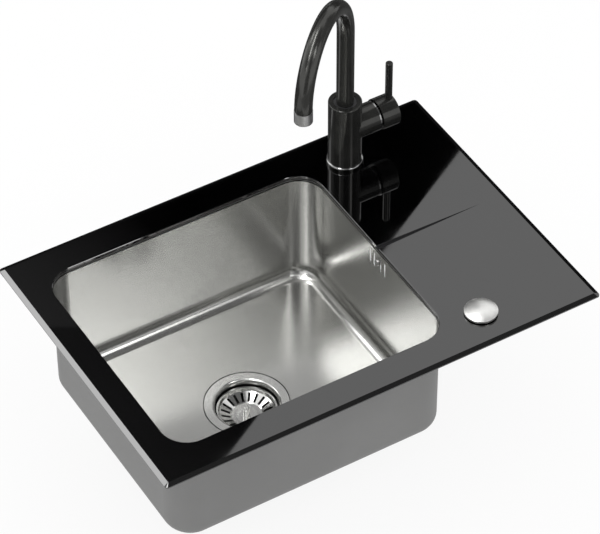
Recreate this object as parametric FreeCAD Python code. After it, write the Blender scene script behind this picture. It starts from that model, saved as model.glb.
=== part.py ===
"""Inset kitchen sink: bevelled glass top, pressed steel bowl, basket waste, push button and swivel tap.

Millimetres, +Z up, +X to the right, +Y to the back. The origin is the plan centre of the glass, on the
worktop that the rim seal lies on.
"""
import FreeCAD, Part
import math
import os

V = FreeCAD.Vector

# Clearances
RUNNING = 0.05          # radial play of a turning or sliding fit
THREAD_GAP = 0.05       # radial play left for a screw thread
SLIP = 0.3              # gap between neighbours that do not touch

# Glass top
GLASS_T = 4.0
GLASS_CORNER_R = 5.0
BEVEL_W = 6.4
BEVEL_H = 2.3
BEVEL_CORNER_R = 0.6
ARRIS = 0.6
HOLE_R = 17.5           # tap hole and button hole
GROOVE_W = 5.2
GROOVE_DEPTH = 1.5
GROOVE_LENGTH = 160.5   # from the bowl edge to the groove's point

# Rim seal and bond seam
RIM_SEAL_T = 3.0
RIM_SEAL_W = 10.0
RIM_SEAL_INSET = 6.0
BOND_T = 2.5
BOND_W = 10.0
BOND_SETBACK = 1.5

# Bowl
LEFT_MARGIN = 40.5      # glass left of the cut-out
DRAINER_W = 202.5       # glass right of the cut-out
FRONT_MARGIN = 47.5     # glass in front of the cut-out and behind it
CUTOUT_W = 407.0
CUTOUT_D = 355.0
CUTOUT_R = 38.0
STEEL_T = 1.0
BOWL_DEPTH = 177.0
FLOOR_FILLET = 20.0
BOWL_FLANGE_W = 14.0
FLANGE_BEND = 0.7
DISH_R = 150.0
DISH_DROP = 6.0

# Basket waste
DRAIN_FLANGE_R = 58.5
FLANGE_GAP = 0.7        # seam round the drain flange
DRAIN_FLANGE_T = 1.2
FLANGE_SEAL_T = 1.2
FLANGE_SEAL_W = 9.0
LIP_W = 3.0             # width of the rolled lip between flange and cup wall
LIP_DROP = 5.0
CUP_R = 43.5            # inside of the cup wall
CUP_T = 1.2
CUP_DEPTH = 32.0
CUP_DRAIN_R = 30.0
CUP_HUB_R = 10.0
CUP_SPOKES = 3
CUP_SPOKE_W = 6.0
CUP_FLOOR_T = 2.0
WASTE_GASKET_T = 3.0
WASTE_GASKET_W = 10.0
WASTE_FLANGE_T = 4.0
WASTE_R = 50.0
WASTE_WALL = 3.0
WASTE_DEPTH = 56.0
WASTE_SHOULDER = 29.0
WASTE_FLOOR_R = 32.0
BOSS_R = 9.0
OUTLET_R = 20.0
OUTLET_WALL = 2.5
OUTLET_LENGTH = 34.0    # free end of the outlet, beyond its stop collar
COLLAR_REACH = 10.0     # stop collars beyond the waste wall
COLLAR_LIP = 1.5
SPIGOT_R = 10.0         # overflow hose spigots
SPIGOT_WALL = 2.0
SPIGOT_LENGTH = 22.0
GLAND_R = 6.0
GLAND_LENGTH = 12.0
CABLE_BORE_R = 1.5
BOLT_HEAD_R = 8.0
BOLT_HEAD_T = 1.8
BOLT_R = 5.0
BOLT_LENGTH = 18.0
LIFTER_R = 3.0
LIFTER_LENGTH = 32.0

# Basket
BASKET_R = 41.2
BASKET_SINK = 9.6       # rim below the drain flange
BASKET_RIM_W = 2.6
BASKET_T = 1.0
BASKET_WALL_R = 37.0
BASKET_WALL_H = 4.5
BASKET_DISH_R = 21.0
BASKET_DISH_H = 11.5
SLOT_COUNT = 20
SLOT_W = 3.6
POST_R = 5.5
POST_H = 12.0
POST_SLOT_W = 1.6
POST_TONGUE_W = 1.9     # between the two slots
PLUG_HUB_R = 8.0
PLUG_R = 34.0
PLUG_T = 1.5
PLUG_SEAL_T = 2.4
PLUG_SEAL_W = 7.0

# Overflow
OVERFLOW_DROP = 28.5    # slot centre below the glass top
OVERFLOW_SLOT_W = 4.0
OVERFLOW_SLOT_H = 25.0
OVERFLOW_PITCH = 10.0
OVERFLOW_INNER_GAP = 15.5
OVERFLOW_GASKET_T = 2.0
OVERFLOW_BOX_D = 22.0
OVERFLOW_BOX_W = 56.0
OVERFLOW_BOX_H = 38.0
OVERFLOW_WALL = 2.5
OVERFLOW_SCREW_R = 2.5
OVERFLOW_HEAD_R = 4.5
OVERFLOW_HEAD_T = 2.0
OVERFLOW_SCREW_SLOT = 1.0
OVERFLOW_BOSS_R = 4.5

# Push button
BUTTON_OFFSET = 50.5    # right of the cut-out
BUTTON_INSET = 5.5      # behind the front of the cut-out
BUTTON_R = 22.4
BUTTON_GAP = 1.9        # rim above the glass
BUTTON_RIM_H = 2.7
BUTTON_CROWN = 4.6
BUTTON_WALL = 2.0
BUTTON_TRAVEL = 1.6
BUTTON_HEADROOM = 0.8   # cap above the housing when pressed
BUTTON_SEAL_T = 1.0
BUTTON_FLANGE_R = 19.5
BUTTON_FLANGE_T = 1.2
BARREL_R = 16.0
BARREL_LENGTH = 30.0
SPRING_CHAMBER_R = 11.5
BUTTON_STEM_R = 6.0
STEM_COLLAR_R = 10.5
STEM_COLLAR_T = 2.0
STEM_COLLAR_DROP = 3.0  # collar top below the housing flange
STEM_GUIDE = 7.0
BUTTON_NUT_R = 22.0
BUTTON_NUT_T = 8.0
NUT_NOTCHES = 8
NUT_NOTCH_R = 2.0
SPRING_WIRE = 1.4
SPRING_TURNS = 5
SPRING_STEPS = 8        # points on each turn, two to an arc

# Tap body
TAP_OFFSET = 51.5       # right of the cut-out
TAP_INSET = 10.5        # in front of the back of the cut-out
TAP_R = 23.0
TAP_TOP = 108.0         # top of the body above the glass
TAP_EDGE = 1.5
BASE_RING_R = 25.1
BASE_RING_H = 6.5
BASE_RING_EDGE = 2.0
BASE_GASKET_T = 1.7
BASE_GASKET_R = 22.7
SHANK_R = 16.0
SHANK_BORE_R = 12.0
SHANK_GRIP = 20.0       # length of shank inside the body
SHANK_LENGTH = 74.0
CLAMP_R = 26.0
CLAMP_GASKET_T = 3.0
CLAMP_WASHER_T = 2.0
CLAMP_NUT_FLATS = 46.0
CLAMP_NUT_T = 12.0
INLET_R = 4.5
INLET_SPACING = 13.0
CHANNEL_R = 3.5
FEED_MARGIN = 2.0       # feed channel above the bottom of the cartridge bore

# Spout
SPOUT_R = 12.0
SPOUT_BORE_R = 10.5
SPOUT_RISE = 229.8      # start of the bend above the glass
SPOUT_BEND_R = 82.1
SPOUT_HEADING = 219.2   # degrees from +X, turned towards the bowl
SOCKET_R = 15.0
SOCKET_DEPTH = 40.0
INSERT_LENGTH = 28.0
INSERT_LIP = 4.0
INSERT_LIFT = 1.0
O_RING_D = 1.7
O_RING_PITCH = 8.0
BUSH_R = 16.0
BUSH_H = 8.5
BUSH_RECESS = 1.5
LOCK_SCREW_R = 2.5
LOCK_GROOVE_DEPTH = 1.4

# Aerator
AERATOR_R = 12.4
AERATOR_H = 18.5
AERATOR_BORE_R = 8.5
AERATOR_SPIGOT_H = 6.0
AERATOR_SEAL_T = 1.5
AERATOR_HOLES = 8
AERATOR_HOLE_R = 1.1
AERATOR_CIRCLE_R = 5.3  # circle of the outer holes
AERATOR_RECESS = 2.0
AERATOR_INSERT_H = 12.0

# Mixer branch, cartridge and lever
BRANCH_H = 60.6         # branch axis above the glass
BRANCH_R = 21.2
BRANCH_REACH = 44.5
CARTRIDGE_BORE_R = 17.6
CARTRIDGE_START = 18.0
CARTRIDGE_L = 20.5
ROTOR_R = 11.0
ROTOR_L = 10.5
ROTOR_SLOT_H = 14.0
PIVOT_REACH = 33.5
PIVOT_PIN_R = 1.5
STEM_SQUARE = 8.0
STEM_TAIL = 4.0
STEM_END = 71.5
NUT_BORE_R = 12.5
NUT_L = 5.5
TRIM_T = 2.2
HANDLE_GAP = 2.3
HANDLE_R = 22.4
HANDLE_L = 26.5
HANDLE_CAVITY_R = 17.0
HANDLE_CAVITY_L = 10.0
HANDLE_EDGE = 1.0
LEVER_TILT = 15.0       # degrees
TILT_CLEARANCE = 0.5
LEVER_REACH = 69.0
LEVER_R = 5.0
LEVER_TOP = 144.5       # above the glass
LEVER_SEAT = 8.0        # foot of the lever above the branch axis
LEVER_EDGE = 1.2
GRUB_R = 2.5
GRUB_L = 12.0

# Levels and places that follow from the sizes above
GLASS_W = LEFT_MARGIN + CUTOUT_W + DRAINER_W
GLASS_D = CUTOUT_D + 2 * FRONT_MARGIN
GLASS_BOTTOM = RIM_SEAL_T
GLASS_TOP = GLASS_BOTTOM + GLASS_T
FLANGE_TOP = GLASS_BOTTOM - BOND_T
BOWL_X = -GLASS_W / 2 + LEFT_MARGIN + CUTOUT_W / 2
BOWL_RIGHT = BOWL_X + CUTOUT_W / 2
BUTTON_X = BOWL_RIGHT + BUTTON_OFFSET
BUTTON_Y = BUTTON_INSET - CUTOUT_D / 2
TAP_X = BOWL_RIGHT + TAP_OFFSET
TAP_Y = CUTOUT_D / 2 - TAP_INSET
FLOOR_Z = FLANGE_TOP - BOWL_DEPTH
DRAIN_Z = FLOOR_Z - DISH_DROP
SEAT_Z = DRAIN_Z - DRAIN_FLANGE_T - FLANGE_SEAL_T
DRAIN_HOLE_R = CUP_R + CUP_T + SLIP
CUP_FLOOR_Z = DRAIN_Z - CUP_DEPTH
WASTE_TOP = SEAT_Z - STEEL_T - WASTE_GASKET_T
WASTE_BOTTOM = WASTE_TOP - WASTE_DEPTH
COLLAR_END = WASTE_R + COLLAR_REACH
OUTLET_Z = WASTE_BOTTOM + OUTLET_R + COLLAR_LIP + SLIP
BASKET_RIM_Z = DRAIN_Z - BASKET_SINK
BASKET_DISH_Z = BASKET_RIM_Z - BASKET_DISH_H
PLUG_SEAL_BOTTOM = CUP_FLOOR_Z + SLIP / 2
PLUG_BOTTOM = PLUG_SEAL_BOTTOM + PLUG_SEAL_T
LIFTER_TOP = PLUG_BOTTOM - SLIP / 2
OVERFLOW_Z = GLASS_TOP - OVERFLOW_DROP
OVERFLOW_X = BOWL_RIGHT + STEEL_T
BUTTON_FLANGE_TOP = GLASS_TOP + BUTTON_SEAL_T + BUTTON_FLANGE_T
BARREL_BOTTOM = GLASS_TOP - BARREL_LENGTH
BUTTON_RIM_Z = GLASS_TOP + BUTTON_GAP
BUTTON_CEILING = BUTTON_FLANGE_TOP + BUTTON_TRAVEL + BUTTON_HEADROOM
COLLAR_TOP = BUTTON_FLANGE_TOP - STEM_COLLAR_DROP
GUIDE_TOP = BARREL_BOTTOM + STEM_GUIDE
BODY_FOOT = GLASS_TOP + BASE_RING_H
BODY_TOP = GLASS_TOP + TAP_TOP
SHANK_TOP = BODY_FOOT + SHANK_GRIP
SOCKET_FLOOR = BODY_TOP - SOCKET_DEPTH
BUSH_FLOOR = BODY_TOP - BUSH_RECESS - BUSH_H
INSERT_FOOT = SOCKET_FLOOR + INSERT_LIFT
SPOUT_FOOT = INSERT_FOOT + INSERT_LIP
BEND_Z = GLASS_TOP + SPOUT_RISE
BRANCH_Z = GLASS_TOP + BRANCH_H
TRIM_FRONT = BRANCH_REACH + TRIM_T
HANDLE_START = TRIM_FRONT + HANDLE_GAP
HANDLE_END = HANDLE_START + HANDLE_L
INSERT_R = SOCKET_R - RUNNING

TAP = V(TAP_X, TAP_Y, 0)
BUTTON = V(BUTTON_X, BUTTON_Y, 0)
DRAIN = V(BOWL_X, 0, 0)
BRANCH = V(TAP_X, TAP_Y, BRANCH_Z)
HEADING = V(math.cos(math.radians(SPOUT_HEADING)), math.sin(math.radians(SPOUT_HEADING)), 0)
OUTLET = TAP + HEADING * (2 * SPOUT_BEND_R)
X_AXIS = V(1, 0, 0)
Y_AXIS = V(0, 1, 0)
Z_AXIS = V(0, 0, 1)


def rounded_rect(width, depth, radius, z, centre_x=0.0):
    """Closed wire of four lines and four corner arcs, lying flat at height z."""
    half_w = width / 2
    half_d = depth / 2
    edges = []
    for turn in range(4):
        across, along = (half_w, half_d) if turn % 2 == 0 else (half_d, half_w)
        angle = math.radians(90 * turn)
        spin = FreeCAD.Rotation(Z_AXIS, 90 * turn)
        start = spin.multVec(V(across, -along + radius, 0))
        end = spin.multVec(V(across, along - radius, 0))
        corner = spin.multVec(V(across - radius, along - radius, 0))
        middle = corner + V(math.cos(angle + math.pi / 4), math.sin(angle + math.pi / 4), 0) * radius
        after = corner + spin.multVec(V(0, radius, 0))
        edges.append(Part.LineSegment(start, end).toShape())
        edges.append(Part.Arc(end, middle, after).toShape())
    wire = Part.Wire(edges)
    wire.translate(V(centre_x, 0, z))
    return wire


def slab(wire, height):
    """Solid plate on a closed flat wire."""
    return Part.Face(wire).extrude(V(0, 0, height))


def rod(radius, start, end, at):
    """Upright cylinder between two heights."""
    return Part.makeCylinder(radius, end - start, at + Z_AXIS * start)


def tube(outer, inner, start, end, at):
    """Upright ring or tube between two heights."""
    return rod(outer, start, end, at).cut(rod(inner, start, end, at))


def bar(radius, start, end, at=BRANCH, axis=X_AXIS):
    """Cylinder along a sideways axis, between two distances from a point."""
    return Part.makeCylinder(radius, end - start, at + axis * start, axis)


def outline(start, *steps):
    """Closed r-z wire: a step is the end of a line, or a (middle, end) pair for an arc."""
    edges = []
    here = V(start[0], 0, start[1])
    for step in list(steps) + [start]:
        if isinstance(step[0], tuple):
            middle = V(step[0][0], 0, step[0][1])
            end = V(step[1][0], 0, step[1][1])
            edges.append(Part.Arc(here, middle, end).toShape())
        else:
            end = V(step[0], 0, step[1])
            edges.append(Part.LineSegment(here, end).toShape())
        here = end
    return Part.Wire(edges)


def turned(wire, at):
    """Solid of revolution of an r-z wire about the upright axis through a point."""
    solid = Part.Face(wire).revolve(V(0, 0, 0), Z_AXIS, 360)
    solid.translate(at)
    return solid


def rounded(shape, radius, picks):
    """Fillet of the edges that the test picks."""
    edges = [edge for edge in shape.Edges if picks(edge)]
    return shape.makeFillet(radius, edges)


def circle_at(z, radius, at):
    """Test for the full circular edge of one radius at one height."""
    def picks(edge):
        box = edge.BoundBox
        level = abs(box.ZMin - z) < 1e-4 and abs(box.ZMax - z) < 1e-4
        return level and abs(box.XLength - 2 * radius) < 1e-3 and abs(box.Center.x - at.x) < 1e-3
    return picks


def circle_across(x, radius):
    """Test for the full circular edge of one radius, square to X."""
    def picks(edge):
        box = edge.BoundBox
        return box.XLength < 1e-4 and abs(box.XMin - x) < 1e-4 and abs(box.YLength - 2 * radius) < 1e-3
    return picks


def glass_top():
    """Toughened glass plate with a ground bevel, a bowl cut-out, two holes and a tapering drainer groove."""
    shoulder = GLASS_TOP - BEVEL_H
    edge = rounded_rect(GLASS_W, GLASS_D, GLASS_CORNER_R, GLASS_BOTTOM)
    plate = slab(edge, shoulder - GLASS_BOTTOM)
    lower = rounded_rect(GLASS_W, GLASS_D, GLASS_CORNER_R, shoulder)
    upper = rounded_rect(GLASS_W - 2 * BEVEL_W, GLASS_D - 2 * BEVEL_W, BEVEL_CORNER_R, GLASS_TOP)
    plate = plate.fuse(Part.makeLoft([lower, upper], True, True))
    cutter = slab(rounded_rect(CUTOUT_W, CUTOUT_D, CUTOUT_R, GLASS_BOTTOM, BOWL_X), GLASS_T)
    flare_low = rounded_rect(CUTOUT_W, CUTOUT_D, CUTOUT_R, GLASS_TOP - ARRIS, BOWL_X)
    flare_top = rounded_rect(CUTOUT_W + 2 * ARRIS, CUTOUT_D + 2 * ARRIS, CUTOUT_R + ARRIS, GLASS_TOP, BOWL_X)
    plate = plate.cut(cutter).cut(Part.makeLoft([flare_low, flare_top], True, True))
    for place in (TAP, BUTTON):
        plate = plate.cut(rod(HOLE_R, GLASS_BOTTOM, GLASS_TOP, place))
    return plate.cut(groove()).removeSplitter()


def groove():
    """V-shaped wedge that runs from the bowl edge to a point on the drainer."""
    mouth = [V(BOWL_RIGHT, GROOVE_W / 2, GLASS_TOP), V(BOWL_RIGHT, -GROOVE_W / 2, GLASS_TOP),
             V(BOWL_RIGHT, 0, GLASS_TOP - GROOVE_DEPTH)]
    point = V(BOWL_RIGHT + GROOVE_LENGTH, 0, GLASS_TOP)
    faces = [Part.Face(Part.makePolygon(mouth + [mouth[0]]))]
    for i in range(3):
        j = (i + 1) % 3
        faces.append(Part.Face(Part.makePolygon([mouth[i], mouth[j], point, mouth[i]])))
    wedge = Part.Solid(Part.Shell(faces))
    if wedge.Volume < 0:
        wedge.reverse()
    return wedge


def rim_seal():
    """Foam frame under the edge of the glass that lies on the worktop."""
    outer_w = GLASS_W - 2 * RIM_SEAL_INSET
    outer_d = GLASS_D - 2 * RIM_SEAL_INSET
    inner_w = outer_w - 2 * RIM_SEAL_W
    inner_d = outer_d - 2 * RIM_SEAL_W
    outside = slab(rounded_rect(outer_w, outer_d, GLASS_CORNER_R, 0), RIM_SEAL_T)
    return outside.cut(slab(rounded_rect(inner_w, inner_d, GLASS_CORNER_R, 0), RIM_SEAL_T))


def bond_seal():
    """Adhesive seam between the glass and the bowl flange, set back from the cut-out."""
    inner = 2 * BOND_SETBACK
    outer = inner + 2 * BOND_W
    outside = rounded_rect(CUTOUT_W + outer, CUTOUT_D + outer, CUTOUT_R + outer / 2, FLANGE_TOP, BOWL_X)
    inside = rounded_rect(CUTOUT_W + inner, CUTOUT_D + inner, CUTOUT_R + inner / 2, FLANGE_TOP, BOWL_X)
    return slab(outside, BOND_T).cut(slab(inside, BOND_T))


def overflow_slots(start, end):
    """Four upright round-ended slots along X, two each side of the middle."""
    first = OVERFLOW_INNER_GAP / 2
    straight = OVERFLOW_SLOT_H - OVERFLOW_SLOT_W
    cutters = []
    for y in (-first - OVERFLOW_PITCH, -first, first, first + OVERFLOW_PITCH):
        corner = V(start, y - OVERFLOW_SLOT_W / 2, OVERFLOW_Z - straight / 2)
        cutter = Part.makeBox(end - start, OVERFLOW_SLOT_W, straight, corner)
        for side in (-1, 1):
            centre = V(start, y, OVERFLOW_Z + side * straight / 2)
            cutter = cutter.fuse(Part.makeCylinder(OVERFLOW_SLOT_W / 2, end - start, centre, X_AXIS))
        cutters.append(cutter)
    return cutters


def bowl():
    """Pressed steel bowl: upright walls, filleted floor dished towards a recessed drain seat, flat flange."""
    def basin(grow):
        wire = rounded_rect(CUTOUT_W + 2 * grow, CUTOUT_D + 2 * grow, CUTOUT_R + grow, FLOOR_Z - grow, BOWL_X)
        block = slab(wire, FLANGE_TOP - FLOOR_Z + grow)
        return rounded(block, FLOOR_FILLET + grow, lambda edge: edge.BoundBox.ZMax < FLOOR_Z - grow + 1e-4)

    def dish(grow):
        seat_r = DRAIN_FLANGE_R + FLANGE_GAP + grow
        return turned(outline((0, FLOOR_Z - grow), (DISH_R, FLOOR_Z - grow), (seat_r, DRAIN_Z - grow),
                              (seat_r, SEAT_Z - grow), (0, SEAT_Z - grow)), DRAIN)

    wide = 2 * BOWL_FLANGE_W
    flange = slab(rounded_rect(CUTOUT_W + wide, CUTOUT_D + wide, CUTOUT_R + BOWL_FLANGE_W,
                               FLANGE_TOP - STEEL_T, BOWL_X), STEEL_T)
    shell = flange.fuse([basin(STEEL_T), dish(STEEL_T)])
    shell = shell.cut(basin(0.0)).cut(dish(0.0))
    shell = shell.cut(rod(DRAIN_HOLE_R, SEAT_Z - STEEL_T, SEAT_Z, DRAIN))
    shell = shell.removeSplitter()

    def mouth(edge):
        box = edge.BoundBox
        inside = box.XMin > BOWL_X - CUTOUT_W / 2 - 1e-3 and box.XMax < BOWL_RIGHT + 1e-3
        return inside and box.ZMin > FLANGE_TOP - 1e-4 and abs(box.Center.y) < CUTOUT_D / 2 + 1e-3

    shell = rounded(shell, FLANGE_BEND, mouth)
    screw_hole = bar(OVERFLOW_SCREW_R + THREAD_GAP, -STEEL_T, 2 * STEEL_T, V(BOWL_RIGHT, 0, OVERFLOW_Z))
    return shell.cut(overflow_slots(BOWL_RIGHT - STEEL_T, BOWL_RIGHT + 2 * STEEL_T) + [screw_hole])


def strainer_cup():
    """Drain flange with a rolled lip, running down into a cup with an open spoked floor."""
    lip_r = CUP_R + LIP_W
    wall_z = DRAIN_Z - LIP_DROP
    bend = math.sqrt(0.5)
    lip_mid = (CUP_R + LIP_W * (1 - bend), wall_z + LIP_DROP * bend)
    low_lip = LIP_DROP - DRAIN_FLANGE_T
    low_mid = (CUP_R + CUP_T + (LIP_W - CUP_T) * (1 - bend), wall_z + low_lip * bend)
    shell = turned(outline(
        (DRAIN_FLANGE_R, DRAIN_Z), (lip_r, DRAIN_Z), (lip_mid, (CUP_R, wall_z)), (CUP_R, CUP_FLOOR_Z),
        (CUP_DRAIN_R, CUP_FLOOR_Z), (CUP_DRAIN_R, CUP_FLOOR_Z - CUP_FLOOR_T),
        (CUP_R + CUP_T, CUP_FLOOR_Z - CUP_FLOOR_T), (CUP_R + CUP_T, wall_z),
        (low_mid, (lip_r, DRAIN_Z - DRAIN_FLANGE_T)), (DRAIN_FLANGE_R, DRAIN_Z - DRAIN_FLANGE_T)), DRAIN)
    hub = rod(CUP_HUB_R, CUP_FLOOR_Z - CUP_FLOOR_T, CUP_FLOOR_Z, DRAIN)
    for i in range(CUP_SPOKES):
        corner = V(0, -CUP_SPOKE_W / 2, CUP_FLOOR_Z - CUP_FLOOR_T)
        spoke = Part.makeBox(CUP_DRAIN_R + CUP_T, CUP_SPOKE_W, CUP_FLOOR_T, corner)
        spoke.rotate(V(0, 0, 0), Z_AXIS, 360.0 * i / CUP_SPOKES)
        spoke.translate(DRAIN)
        hub = hub.fuse(spoke)
    hole = rod(BOLT_R + THREAD_GAP, CUP_FLOOR_Z - CUP_FLOOR_T, CUP_FLOOR_Z, DRAIN)
    return shell.fuse(hub).cut(hole).removeSplitter()


def flange_seal():
    """Thin rubber ring between the drain flange and its seat in the bowl."""
    outer = DRAIN_FLANGE_R - SLIP
    return tube(outer, outer - FLANGE_SEAL_W, SEAT_Z, SEAT_Z + FLANGE_SEAL_T, DRAIN)


def waste_gasket():
    """Thick rubber ring between the bowl and the waste body."""
    outer = DRAIN_FLANGE_R - SLIP
    return tube(outer, outer - WASTE_GASKET_W, WASTE_TOP, WASTE_TOP + WASTE_GASKET_T, DRAIN)


def waste_body():
    """Moulded waste: flanged funnel with a central boss, a side outlet, an overflow inlet and a cable gland."""
    shoulder = WASTE_TOP - WASTE_SHOULDER
    inner_r = WASTE_R - WASTE_WALL
    inner_floor = WASTE_BOTTOM + WASTE_WALL
    outlet_at = DRAIN + Z_AXIS * OUTLET_Z
    inlet_at = DRAIN + Z_AXIS * (shoulder + SPIGOT_R + WASTE_WALL)
    outside = turned(outline(
        (0, WASTE_TOP), (DRAIN_FLANGE_R, WASTE_TOP), (DRAIN_FLANGE_R, WASTE_TOP - WASTE_FLANGE_T),
        (WASTE_R, WASTE_TOP - WASTE_FLANGE_T), (WASTE_R, shoulder), (WASTE_FLOOR_R, WASTE_BOTTOM),
        (0, WASTE_BOTTOM)), DRAIN)
    inside = turned(outline(
        (0, WASTE_TOP), (inner_r, WASTE_TOP), (inner_r, shoulder),
        (WASTE_FLOOR_R - WASTE_WALL, inner_floor), (0, inner_floor)), DRAIN)
    pipe_end = COLLAR_END + OUTLET_LENGTH
    inlet_end = COLLAR_END + SPIGOT_LENGTH
    pipe = bar(OUTLET_R, 0, pipe_end, outlet_at, Y_AXIS).fuse(
        bar(OUTLET_R + COLLAR_LIP, 0, COLLAR_END, outlet_at, Y_AXIS))
    inlet = bar(SPIGOT_R, 0, inlet_end, inlet_at, X_AXIS).fuse(
        bar(SPIGOT_R + COLLAR_LIP, 0, COLLAR_END, inlet_at, X_AXIS))
    gland = rod(GLAND_R, WASTE_BOTTOM - GLAND_LENGTH, WASTE_BOTTOM, DRAIN)
    body = outside.fuse([pipe, inlet, gland])
    pipe_bore = bar(OUTLET_R - OUTLET_WALL, 0, pipe_end, outlet_at, Y_AXIS)
    inlet_bore = bar(SPIGOT_R - SPIGOT_WALL, 0, inlet_end, inlet_at, X_AXIS)
    body = body.cut([inside, pipe_bore, inlet_bore])
    boss_top = CUP_FLOOR_Z - CUP_FLOOR_T
    body = body.fuse(rod(BOSS_R, WASTE_BOTTOM, boss_top, DRAIN))
    bolt_bore = rod(BOLT_R + THREAD_GAP, CUP_FLOOR_Z - BOLT_LENGTH, boss_top, DRAIN)
    lifter_bore = rod(LIFTER_R + SLIP, LIFTER_TOP - LIFTER_LENGTH - SLIP, boss_top, DRAIN)
    cable_bore = rod(CABLE_BORE_R, WASTE_BOTTOM - GLAND_LENGTH, boss_top, DRAIN)
    return body.cut([bolt_bore, lifter_bore, cable_bore]).removeSplitter()


def waste_bolt():
    """Hollow bolt that clamps the cup to the waste body and guides the lifter pin."""
    head = rod(BOLT_HEAD_R, CUP_FLOOR_Z, CUP_FLOOR_Z + BOLT_HEAD_T, DRAIN)
    shank = rod(BOLT_R, CUP_FLOOR_Z - BOLT_LENGTH, CUP_FLOOR_Z, DRAIN)
    bore = rod(LIFTER_R + RUNNING, CUP_FLOOR_Z - BOLT_LENGTH, CUP_FLOOR_Z + BOLT_HEAD_T, DRAIN)
    return head.fuse(shank).cut(bore).removeSplitter()


def lifter_pin():
    """Pin that pushes the basket up when the button is pressed."""
    return rod(LIFTER_R, LIFTER_TOP - LIFTER_LENGTH, LIFTER_TOP, DRAIN)


def basket_dish():
    """Lift-out strainer: flat rim, steep wall and a slotted cone round a smooth dish."""
    wall_z = BASKET_RIM_Z - BASKET_WALL_H
    rim_in = BASKET_R - BASKET_RIM_W
    low = BASKET_T
    shell = turned(outline(
        (BASKET_R, BASKET_RIM_Z), (rim_in, BASKET_RIM_Z), (BASKET_WALL_R, wall_z),
        (BASKET_DISH_R, BASKET_DISH_Z), (0, BASKET_DISH_Z), (0, BASKET_DISH_Z - low),
        (BASKET_DISH_R + low / 2, BASKET_DISH_Z - low), (BASKET_WALL_R + low, wall_z - low),
        (rim_in + low, BASKET_RIM_Z - low), (BASKET_R, BASKET_RIM_Z - low)), DRAIN)
    cutters = []
    for i in range(SLOT_COUNT):
        inner = BASKET_DISH_R + SLOT_W / 2
        length = BASKET_WALL_R - SLOT_W / 2 - inner
        depth = BASKET_DISH_H + 2 * low
        cutter = Part.makeBox(length, SLOT_W, depth, V(inner, -SLOT_W / 2, BASKET_RIM_Z - depth))
        cutter.rotate(V(0, 0, 0), Z_AXIS, 360.0 * i / SLOT_COUNT)
        cutter.translate(DRAIN)
        cutters.append(cutter)
    return shell.cut(cutters)


def basket_post():
    """Grip post in the middle of the basket, its head split by two slots."""
    post = rod(POST_R, BASKET_DISH_Z, BASKET_DISH_Z + POST_H, DRAIN)
    post = rounded(post, POST_SLOT_W / 2, circle_at(BASKET_DISH_Z + POST_H, POST_R, DRAIN))
    for side in (-1, 1):
        centre = side * (POST_SLOT_W + POST_TONGUE_W) / 2
        corner = V(centre - POST_SLOT_W / 2, -POST_R, BASKET_DISH_Z + POST_H / 2)
        slot = Part.makeBox(POST_SLOT_W, 2 * POST_R, POST_H / 2, corner)
        slot.translate(DRAIN)
        post = post.cut(slot)
    return post


def basket_plug():
    """Plug plate under the basket, on a hub below the dish."""
    top = BASKET_DISH_Z - BASKET_T
    return turned(outline(
        (0, top), (PLUG_HUB_R, top), (PLUG_HUB_R, PLUG_BOTTOM + PLUG_T), (PLUG_R, PLUG_BOTTOM + PLUG_T),
        (PLUG_R, PLUG_BOTTOM), (0, PLUG_BOTTOM)), DRAIN)


def basket_seal():
    """Rubber ring under the plug plate that closes the cup floor."""
    return tube(PLUG_R, PLUG_R - PLUG_SEAL_W, PLUG_SEAL_BOTTOM, PLUG_BOTTOM, DRAIN)


def overflow_frame(start, end, margin):
    """Rounded block behind the overflow slots, between two distances from the bowl wall."""
    width = OVERFLOW_BOX_W - 2 * margin
    height = OVERFLOW_BOX_H - 2 * margin
    corner = V(OVERFLOW_X + start, -width / 2, OVERFLOW_Z - height / 2)
    return Part.makeBox(end - start, width, height, corner)


def overflow_gasket():
    """Rubber frame between the bowl wall and the overflow housing."""
    frame = overflow_frame(0, OVERFLOW_GASKET_T, 0)
    return frame.cut(overflow_frame(0, OVERFLOW_GASKET_T, OVERFLOW_WALL))


def overflow_housing():
    """Moulded box behind the overflow slots with a screw boss and a hose spigot below."""
    start = OVERFLOW_GASKET_T
    end = start + OVERFLOW_BOX_D
    low = OVERFLOW_Z - OVERFLOW_BOX_H / 2
    middle = V(OVERFLOW_X + (start + end) / 2, 0, 0)
    body = overflow_frame(start, end, 0).fuse(rod(SPIGOT_R, low - SPIGOT_LENGTH, low, middle))
    body = body.cut(overflow_frame(start, end - OVERFLOW_WALL, OVERFLOW_WALL))
    body = body.cut(rod(SPIGOT_R - SPIGOT_WALL, low - SPIGOT_LENGTH, low + OVERFLOW_WALL, middle))
    at = V(OVERFLOW_X, 0, OVERFLOW_Z)
    body = body.fuse(bar(OVERFLOW_BOSS_R, start, end, at))
    return body.cut(bar(OVERFLOW_SCREW_R + THREAD_GAP, start, end - OVERFLOW_WALL, at)).removeSplitter()


def overflow_screw():
    """Round-headed screw through the bowl wall into the overflow housing."""
    at = V(BOWL_RIGHT, 0, OVERFLOW_Z)
    head = bar(OVERFLOW_HEAD_R, -OVERFLOW_HEAD_T, 0, at)
    head = rounded(head, OVERFLOW_HEAD_T / 2, circle_across(BOWL_RIGHT - OVERFLOW_HEAD_T, OVERFLOW_HEAD_R))
    reach = STEEL_T + OVERFLOW_GASKET_T + OVERFLOW_BOX_D - OVERFLOW_WALL - SLIP
    slot = Part.makeBox(OVERFLOW_HEAD_T / 2, 2 * OVERFLOW_HEAD_R, OVERFLOW_SCREW_SLOT,
                        at - V(OVERFLOW_HEAD_T, OVERFLOW_HEAD_R, OVERFLOW_SCREW_SLOT / 2))
    return head.fuse(bar(OVERFLOW_SCREW_R, 0, reach, at)).cut(slot).removeSplitter()


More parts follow.
